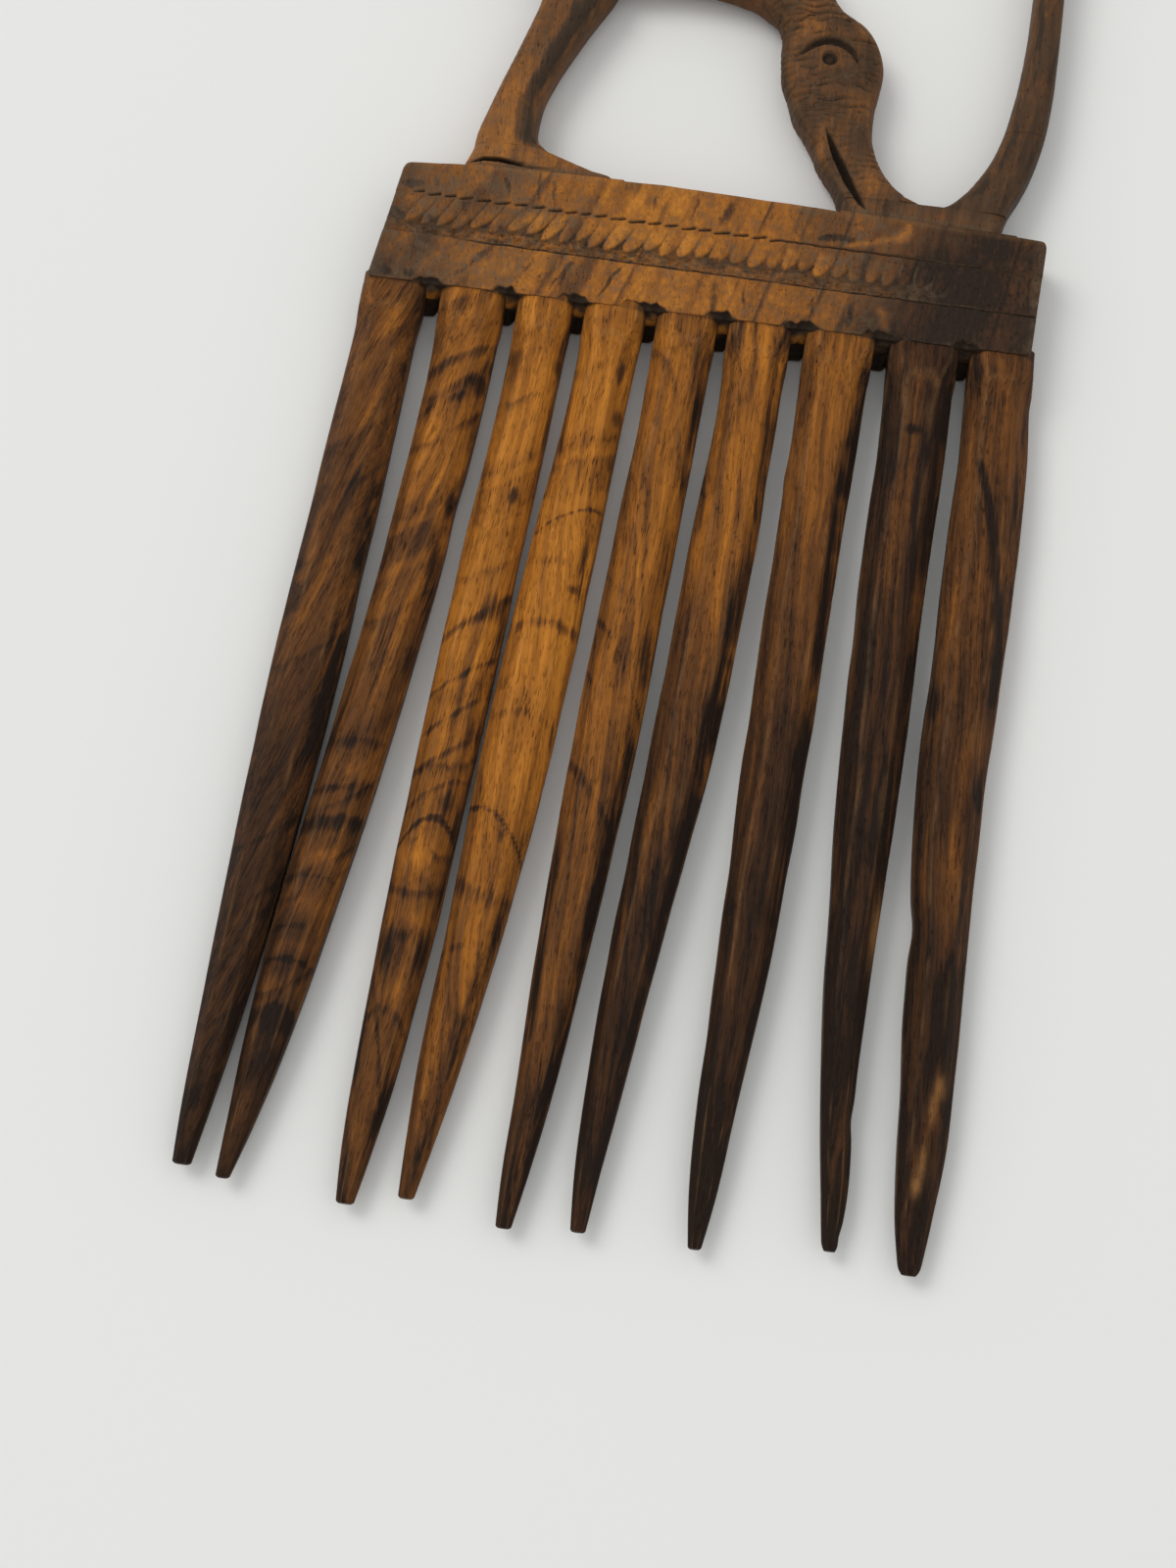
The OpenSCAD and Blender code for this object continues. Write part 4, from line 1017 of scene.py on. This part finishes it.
# shares of each member's height, and of its width to either side of its middle; for the tail,
# body and neck the places of both outlines along and above the body
strapTable = [(0, -3, -0.76), (0.004, -2.9, -0.75), (0.014, -2.72, -0.73), (0.032, -2.52, -0.68),
              (0.07, -2.23, -0.56),
              (0.13, -1.88, -0.3), (0.22, -1.46, 0), (0.34, -1.09, 0.24), (0.48, -0.84, 0.38),
              (0.6, -0.69, 0.43), (0.78, -0.56, 0.46), (1, -0.5, 0.48)]
tailTable = [(-1.14, 1.13, -1.3, 1.09), (-1.11, 1.02, -1.26, 0.84), (-1.05, 0.945, -1.18, 0.55)]
bodyTable = [(-0.94, 0.93, -1.03, 0.3), (-0.75, 0.965, -0.84, 0.12), (-0.49, 0.985, -0.64, 0.01),
             (-0.19, 0.93, -0.45, -0.01), (0.08, 0.79, -0.28, 0.02), (0.3, 0.61, -0.14, 0.04),
             (0.46, 0.42, 0, 0.04)]
neckTable = [(0.58, 0.24, 0.12, 0.03), (0.66, 0.08, 0.23, 0.01), (0.735, -0.025, 0.31, -0.035)]
headTable = [(1, 0.31, -0.57), (0.915, 0.43, -0.51), (0.825, 0.49, -0.5), (0.74, 0.5, -0.48),
             (0.645, 0.48, -0.45), (0.555, 0.455, -0.38)]
beakTable = [(0.46, 0.45, -0.31), (0.375, 0.46, -0.2), (0.29, 0.5, -0.1), (0.21, 0.57, -0.03),
             (0.13, 0.675, 0.08), (0.075, 0.775, 0.15), (0.035, 0.875, 0.19), (0.012, 0.965, 0.22),
             (0.003, 1.02, 0.23), (0, 1.045, 0.23)]
footTable = [(-0.08, -0.6, 1.88), (0, -0.58, 1.88), (0.16, -0.56, 1.87), (0.3, -0.54, 1.62),
             (0.6, -0.51, 1.27), (1, -0.49, 0.84)]
legTable = [(0, -0.49, 0.84), (0.08, -0.47, 0.58), (0.25, -0.32, 0.55), (0.43, -0.15, 0.69),
            (0.72, 0.12, 1.11), (0.92, 0.27, 1.46), (1, 0.33, 1.555), (1.12, 0.42, 1.7)]

strapX = barHalf - handle["strapInset"]
headX = strapX - handle["headGap"]
bellyY = barTop + handle["bellyRise"]
strapBase = barTop + handle["webHeight"]
swungY = strapBase + handle["strapSwing"]
springY = barTop + handle["archSpring"]
ankleY = float(topY(handle["legX"])) + handle["footHeight"]
neckX = headX - handle["headWidth"] * handle["neckShare"]
tailX = neckX - handle["bodyLength"] * handle["tailShare"]
headSpan = handle["bellyRise"] - handle["webHeight"] - handle["headDrop"] * handle["bodyHeight"]
birdSquare, hoopSquare = handle["birdSquare"], handle["hoopSquare"]
jointSquare, footSquare = handle["jointSquare"], handle["footSquare"]


def section(left, leftY, right, rightY, depth, squareness):
    return [left, leftY, right, rightY, depth[0] * thick, depth[1] * thick, squareness]


def levelRow(middle, width, y, left, right, depth, squareness):
    return section(middle + left * width, y, middle + right * width, y, depth, squareness)


def standingRow(left, right, top, up, depth, squareness):
    # a share of the way up from the bar's sloping top edge to a level line
    a, b = float(topY(left)), float(topY(right))
    return section(left, a + (top - a) * up, right, b + (top - b) * up, depth, squareness)


def birdRow(share, depth=handle["birdDepth"], squareness=birdSquare):
    xs = [neckX + share[i] * handle["bodyLength"] for i in (0, 2)]
    ys = [bellyY + share[i] * handle["bodyHeight"] for i in (1, 3)]
    return section(xs[0], ys[0], xs[1], ys[1], depth, squareness)


def between(first, second, share):
    return [p + (q - p) * share for p, q in zip(first, second)]


def chainRows():
    # one chain of sections: up the strap, over the arch, along the bird and down its beak
    strap, bird, rows = handle["strapDepth"], handle["birdDepth"], []
    for up, inner, outer in strapTable:
        ease = min(up / 0.22, 1)
        square = jointSquare - (jointSquare - hoopSquare) * ease
        rows.append(levelRow(strapX, handle["strapWidth"], strapBase + up * handle["strapSwing"],
                             inner, outer, between(bird, strap, ease), square))
    for up in (0.5, 1):
        rows.append(levelRow(strapX, handle["strapWidth"], swungY + up * (springY - swungY),
                             -0.5, 0.5, strap, hoopSquare))
    archX, reach = (strapX + tailX) / 2, (strapX - tailX) / 2
    for i in range(handle["archSteps"]):
        angle = math.pi * (i + 1) / handle["archSteps"]
        wider = handle["crownWidth"] - handle["strapWidth"]
        width = handle["strapWidth"] + wider * math.sin(angle)
        inner, outer = [(archX + (reach + side * width / 2) * math.cos(angle),
                         springY + (handle["archRise"] - drop) * math.sin(angle))
                        for side, drop in ((-1, width), (1, 0))]
        rows.append(section(*inner, *outer, strap, hoopSquare))
    for i, share in enumerate(tailTable):
        ease = (i + 1) / 4
        square = hoopSquare - (hoopSquare - birdSquare) * ease
        rows.append(birdRow(share, between(strap, bird, ease), square))
    rows += [birdRow(share) for share in bodyTable + neckTable]
    for up, right, left in headTable + beakTable:
        # squarer along the beak, and most of all where it meets the web
        onBeak = max(hoopSquare, jointSquare - 30 * up)
        square = birdSquare if up > beakTable[0][0] else onBeak
        rows.append(levelRow(headX, handle["headWidth"], strapBase + up * headSpan, right, left,
                             bird, square))
    return rows


# the skin of every member: squareness and closer points for the ring on its front, how far the
# knife's shallow dips go in, the pitch of the wrinkles, and their depth on the front and outline
skin = {"squareness": 2.8, "frontShare": 1.6, "dipIn": 0.028, "dipDown": 0.09,
        "wrinklePitch": 0.95, "wrinkleDepth": 1.6, "notchDepth": 1.1, "atBar": 0.15,
        "eyeRim": 0.35, "worn": 0.86, "wornWidth": 0.1}
# knife cuts on the bird: lines in millimetres, width, depth
browCuts = [
    ([(7, 29.4), (8, 30.2), (9.1, 31.15), (10.2, 31.75), (11.2, 31.9), (12.3, 31.75),
      (13.3, 31.3), (14.1, 30.6), (14.6, 29.7), (14.8, 29)], 1.45, 1),
    ([(14.7, 29.2), (14.4, 28), (13.4, 27.2), (12.2, 26.9)], 1.2, 0.3),
    ([(6.2, 34.2), (7.2, 34.5), (8.6, 35.5)], 0.5, 0.4),
]
mouthCuts = [
    ([(11.9, 19.4), (12.4, 18.2), (12.9, 17.1), (13.5, 15.8), (14.2, 14.6), (14.8, 13.5),
      (15.5, 12.2), (16.2, 11.1), (17, 9.9), (17.6, 9.2)], 1.15, 1.6),
    ([(12.6, 14.2), (13.1, 13), (14.1, 11.3), (15.2, 9.9)], 0.7, 0.5),
]
wrinkleCuts = [
    ([(5.9, 27.3), (7.4, 27.2)], 0.4, 0.28),
    ([(5.7, 25), (6.5, 25.8), (8.2, 25.9), (9.6, 25.7)], 0.35, 0.36),
    ([(12.2, 26), (13, 25.9), (14, 25.5)], 0.4, 0.36),
    ([(6, 24.3), (8, 24.2), (10.5, 24), (12, 24.1)], 0.32, 0.3),
    ([(7.5, 22.9), (9, 22.4), (10.4, 22), (11.2, 21.5)], 0.34, 0.34),
    ([(15, 23.6), (16.4, 23.4), (17.4, 23)], 0.32, 0.3),
    ([(11.5, 21.9), (13, 21.6), (14.8, 21.6)], 0.3, 0.3),
    ([(9.4, 20.4), (11, 20.3)], 0.3, 0.3),
    ([(13.2, 20.3), (14.8, 20.6), (16, 20.5)], 0.32, 0.3),
]
footCuts = [([(-30.2, 9.25), (-28.8, 9.85), (-27, 9.95), (-25.2, 9.75), (-22.6, 9.3)], 0.8, 1.5)]
eye = {"x": 11.25, "y": 29.35, "ring": 2.45, "ringDepth": 0.14, "pupil": 1.05, "pupilDepth": 0.62}


def scratchCuts(seed, count, low, high, tilt, length):
    # short irregular knife nicks, the same on every run
    dice = np.random.default_rng(seed)
    cuts = []
    for i in range(count):
        x, y = dice.uniform(low[0], high[0]), dice.uniform(low[1], high[1])
        reach, turn = dice.uniform(0.5, 1) * length, math.radians(tilt + dice.normal(0, 12))
        middle = (x, y + dice.normal(0, 0.12))
        aside, above = reach / 2 * math.cos(turn), reach / 2 * math.sin(turn)
        ends = [(x - aside, y - above), middle, (x + aside, y + above)]
        cuts.append((ends, dice.uniform(0.22, 0.4), dice.uniform(0.1, 0.26)))
    return cuts


neckCuts = [([(x, y), (x + 2.4, y + 1.5)], 0.42, 0.34) for x, y in [
    (3.2, 33.4), (4.2, 32.6), (1, 35.8), (2.1, 35.6), (3.4, 36.4), (4.6, 35.5), (0.2, 37.6),
    (1.6, 38.2), (3, 38.6), (5.4, 34.2), (5.8, 36.6), (4.4, 38.2)]]
headCuts = browCuts + wrinkleCuts + scratchCuts(5, 16, (6.2, 19.8), (17.2, 27.2), -6, 2.6) \
    + scratchCuts(6, 8, (6.5, 31.8), (14.5, 35.5), -28, 2.0)
beakCuts = mouthCuts + wrinkleCuts[6:] + scratchCuts(7, 12, (9.5, 17.5), (17.0, 21.0), -10, 1.8)


def handlePiece(name, rows, sides, tones, cuts=(), pupil=None, flank=0.1, stripe=None, crag=0.05,
                figured=1.0, spots=()):
    width = np.median(np.linalg.norm(rows[:, 2:4] - rows[:, 0:2], axis=1))
    height = np.median(rows[:, 5] - rows[:, 4])
    angles = ringAngles(width, height, skin["squareness"], sides, skin["frontShare"])
    points, across, lift = skinRings(rows, angles)
    x, y, z = points.T
    front = easeStep(lift, 0.25, 0.75)
    # knife-shaved surface: shallow dips that run along the piece, a little inside the skin
    dips = ripple(points, (3.2, 5.5, 3.5), 4.0) * 0.5 + ripple(points, (1.3, 2.0, 1.5), 13.0) * 0.3
    middle = np.repeat((rows[:, 0:2] + rows[:, 2:4]) / 2, sides, axis=0)
    # nothing shrinks where a piece meets the bar, so the joints stay flush
    free = skin["atBar"] + (1 - skin["atBar"]) * easeStep(y, strapBase - 0.5, strapBase + 3)
    squeeze = 1 - skin["dipIn"] * (1 + dips) * free
    points[:, :2] = middle + (points[:, :2] - middle) * squeeze[:, None]
    z -= lift * skin["dipDown"] * (1 + dips)
    depth = knifeCuts(points, cuts)
    # wavy wrinkles across the wood, deeper in some places, that notch the left outline
    level = y - 0.12 * x + 0.7 * ripple(points, (2.6, 2.0, 3), 31.0)
    turn = level / skin["wrinklePitch"]
    groove = (1 - np.abs(2 * (turn - np.floor(turn)) - 1)) ** 3.5
    rough = groove * np.clip(0.5 + 1.6 * ripple(points, (2.4, 0.9, 2.4), 37.0), 0, 1)
    leftSide = (x < middle[:, 0]) * easeStep(np.abs(across), 0.5, 0.8)
    x += skin["notchDepth"] * crag * rough * leftSide * free
    depth = np.maximum(depth, crag * skin["wrinkleDepth"] * rough)
    if pupil:
        away = np.hypot(x - pupil["x"], y - pupil["y"])
        ring = np.clip(1 - np.abs(away - pupil["ring"]) / skin["eyeRim"], 0, 1)
        hole = (1 - easeStep(away, pupil["pupil"] * 0.75, pupil["pupil"])) * pupil["pupilDepth"]
        hole *= 0.8 + 0.2 * easeStep(away, 0.2, 0.5)
        ring = np.maximum(ring * pupil["ringDepth"], hole)
        depth = np.maximum(depth * easeStep(away, 1.3, 2.2), ring)
    z -= depth * front
    # dirt and painted shade in the knife cuts, wrinkles and eye, and darker just above the bar's
    # top edge where the piece meets it
    hollow = np.clip(depth * 1.8 - 0.05, 0, 1) * front
    hollow = np.maximum(hollow, easeStep(topY(x) - y, -1.2, 0.2) * 0.5)
    place = np.linspace(0, 1, len(rows)).repeat(sides)
    wavy = ripple(points, (6, 7, 6), 17.0)
    tone = np.interp(place, [0, 0.5, 1], tones) + flank * easeStep(across + 0.5 * wavy, 0.15, 0.75)
    for spotX, spotY, wide, high, strength in spots:
        tone += strength * front * hump(x - spotX, wide) * hump(y - spotY, high)
    stainAndShade = np.zeros(len(points))
    if stripe:
        at, wide, strength, fade = stripe
        wave = 0.06 * np.sin(y * 0.9) + 0.16 * wavy
        stainAndShade = hump(across - at - wave, wide) * strength * 2.2
        stainAndShade *= easeStep(y, topY(0) + 2, topY(0) + 5) * front
        stainAndShade *= 1 - fade * easeStep(place, 0.7, 0.95)
    worn = np.abs(np.abs(across) - skin["worn"]) / skin["wornWidth"]
    edge = np.clip(1 - worn, 0, 1) * front * 0.7
    values = {"tone": tone, "hollow": hollow, "edge": edge, "stainAndShade": stainAndShade,
              "figured": np.full(len(points), figured)}
    piece = makeMesh(name, points, [], ringFaces(len(rows), points), values, flat=2)
    piece.data.materials.append(handleWood)
    return piece


def chainPart(first, last, step=handle["ringStep"]):
    rows, marks = denseRows(chainRows(), step)
    return rows[marks[first]:marks[last] + 1]


carved = handle["carvedStep"]
rootEnd = 7
lastStrap = len(strapTable) + 1
lastHoop = lastStrap + handle["archSteps"]
firstBody = lastHoop + len(tailTable) + 1
lastBody = firstBody + len(bodyTable) - 1
firstHead = lastBody + len(neckTable) + 1
firstBeak = firstHead + len(headTable)
lastBeak = firstBeak + len(beakTable) - 1
# darker and lighter places near the eye and along the beak: x, y, half sizes, change of tone; the
# darker two right of and below the eye are painted shade of its bulge
headSpots = [
    (11.8, 35, 2.2, 2.6, 0.16), (16.6, 29.6, 1.6, 3.4, 0.24), (13.1, 27, 1.9, 1.1, 0.26),
    (6.6, 28, 1.7, 5.5, -0.24), (16.4, 24, 1.4, 2.6, -0.2), (11.4, 16.4, 0.9, 3.2, -0.26),
    (18.2, 12.8, 2, 2.2, -0.18), (8.8, 20.4, 1, 2.6, 0.2), (12, 23.2, 1.6, 1.6, 0.14),
    (8.6, 33.4, 2, 1.8, -0.22), (15.8, 18.6, 1.2, 2.4, 0.16),
]
webLeft = headX + beakTable[-1][2] * handle["headWidth"]
webRight = strapX + strapTable[0][2] * handle["strapWidth"]
footRows = [standingRow(handle["legX"] + left * handle["legWidth"],
                        handle["legX"] + right * handle["legWidth"], ankleY, up,
                        (handle["footDepth"][0],
                         handle["footDepth"][1] - handle["footTaper"] * max(up, 0)),
                        footSquare - (footSquare - hoopSquare) * max(up, 0))
            for up, left, right in footTable]
# the leg's end sinks into the body
legRows = []
for up, left, right in legTable:
    back, front = handle["legDepth"]
    front -= handle["legSink"] * float(easeStep(up, 0.95, 1.12))
    legRows.append(levelRow(handle["legX"], handle["legWidth"], ankleY + up * (bellyY - ankleY),
                            left, right, (back, front), hoopSquare))
webRows = []
for up in (-0.12, 0, 0.5, 1):
    inset = handle["webHeight"] * handle["webInset"] * (1 - max(up, 0))
    webRows.append(standingRow(webLeft + inset, webRight - inset, strapBase, up,
                               handle["birdDepth"], handle["webSquare"]))
handlePieces = {
    "strap_root": handlePiece("strapRoot", chainPart(0, rootEnd), 60, (0.76, 0.82, 0.8),
                              stripe=(-0.45, 0.3, 0.3, 0)),
    "side_strap": handlePiece("sideStrap", chainPart(rootEnd, lastStrap), 44, (0.8, 0.66, 0.55),
                              stripe=(-0.5, 0.35, 0.3, 1)),
    "top_arch": handlePiece("topArch", chainPart(lastStrap, lastHoop), 44, (0.55, 0.4, 0.48)),
    "tail": handlePiece("tailFeathers", chainPart(lastHoop, firstBody), 60, (0.48, 0.42, 0.42),
                        scratchCuts(11, 26, (-38, 62), (-28, 86), 78, 3.0)),
    "body": handlePiece("birdBody", chainPart(firstBody, lastBody, carved), 150,
                        (0.42, 0.36, 0.46), scratchCuts(12, 70, (-34, 38), (-2, 60), -28, 3.0)),
    "neck": handlePiece("birdNeck", chainPart(lastBody, firstHead, carved), 120,
                        (0.5, 0.55, 0.62), crag=0.26, figured=0.4,
                        cuts=neckCuts + scratchCuts(13, 26, (-6, 33), (10, 47), 35, 2.2)),
    "head": handlePiece("birdHead", chainPart(firstHead, firstBeak, carved), 170,
                        (0.62, 0.66, 0.66), headCuts, eye, crag=0.38, figured=0.25,
                        spots=headSpots),
    "beak": handlePiece("birdBeak", chainPart(firstBeak, lastBeak, carved), 150,
                        (0.66, 0.6, 0.66), beakCuts, crag=0.2, figured=0.25, spots=headSpots),
    "foot": handlePiece("birdFoot", denseRows(footRows, handle["footStep"])[0], 150,
                        (0.4, 0.32, 0.3), footCuts),
    "leg": handlePiece("birdLeg", denseRows(legRows, handle["legStep"])[0], 80, (0.3, 0.5, 0.6),
                       flank=0.14, stripe=(0.5, 0.4, 0.42, 1)),
    "base_web": handlePiece("baseWeb", denseRows(webRows, handle["carvedStep"])[0], 150,
                            (0.62, 0.62, 0.7), mouthCuts),
}
print("handle ready:", sum(len(p.data.polygons) for p in handlePieces.values()), "faces")


def settle(piece, node):
    # each piece rides on the comb and stands for its solid
    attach(piece, "root")
    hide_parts(node)


settle(carvedBar, "comb_bar")
for number, piece in enumerate(tinePieces, start=1):
    settle(piece, f"tine_{number}")
for node, piece in handlePieces.items():
    settle(piece, node)
print("pieces settled")


# The floor, the light and the camera.
studio = {
    "floor": (232, 231, 227), "floorReach": 2000, "floorRough": 0.7, "floorGloss": 0.2,
    "keyPlace": (-1.6, 0.9, 2.2), "keySize": 1.6, "keyPower": 26.0,
    "fillStrength": 0.76, "fill": (0.97, 0.985, 1.0, 1.0),
}
view = {"place": (0.00452, -0.14264, 0.25616), "ahead": (-0.0392, 0.2897, -0.9563),
        "right": (0.9910, 0.1340, 0.0), "lens": 54.0, "sensor": 36.0, "nearest": 0.01}

reach = studio["floorReach"]
floor = makeMesh("floor", [(-reach, -reach, 0), (reach, -reach, 0), (reach, reach, 0),
                           (-reach, reach, 0)], faces=[(0, 1, 2, 3)], flat=1)
paper = bpy.data.materials.new("palePaper")
paper.use_nodes = True
fillInputs(paper.node_tree.nodes["Principled BSDF"], {
    "Base Color": rgb(*studio["floor"]), "Roughness": studio["floorRough"],
    "Specular IOR Level": studio["floorGloss"]})
floor.data.materials.append(paper)

world = bpy.data.worlds.new("softRoom")
world.use_nodes = True
fillInputs(world.node_tree.nodes["Background"],
           {"Color": studio["fill"], "Strength": studio["fillStrength"]})
scene.world = world

keyData = bpy.data.lights.new("overheadPanel", "AREA")
keyData.shape, keyData.size, keyData.energy = "DISK", studio["keySize"], studio["keyPower"]
key = addObject("overheadPanel", keyData)
key.location = studio["keyPlace"]
key.rotation_euler = (-Vector(studio["keyPlace"])).to_track_quat("-Z", "Y").to_euler()

ahead = Vector(view["ahead"]).normalized()
right = (Vector(view["right"]) - ahead * Vector(view["right"]).dot(ahead)).normalized()
turned = Matrix((right, right.cross(ahead), -ahead)).transposed()
cameraData = bpy.data.cameras.new("phone")
cameraData.lens, cameraData.sensor_width = view["lens"], view["sensor"]
cameraData.clip_start = view["nearest"]
camera = addObject("phone", cameraData)
camera.matrix_world = Matrix.Translation(view["place"]) @ turned.to_4x4()
scene.camera = camera
scene.view_settings.view_transform = "Standard"

print("stage ready")
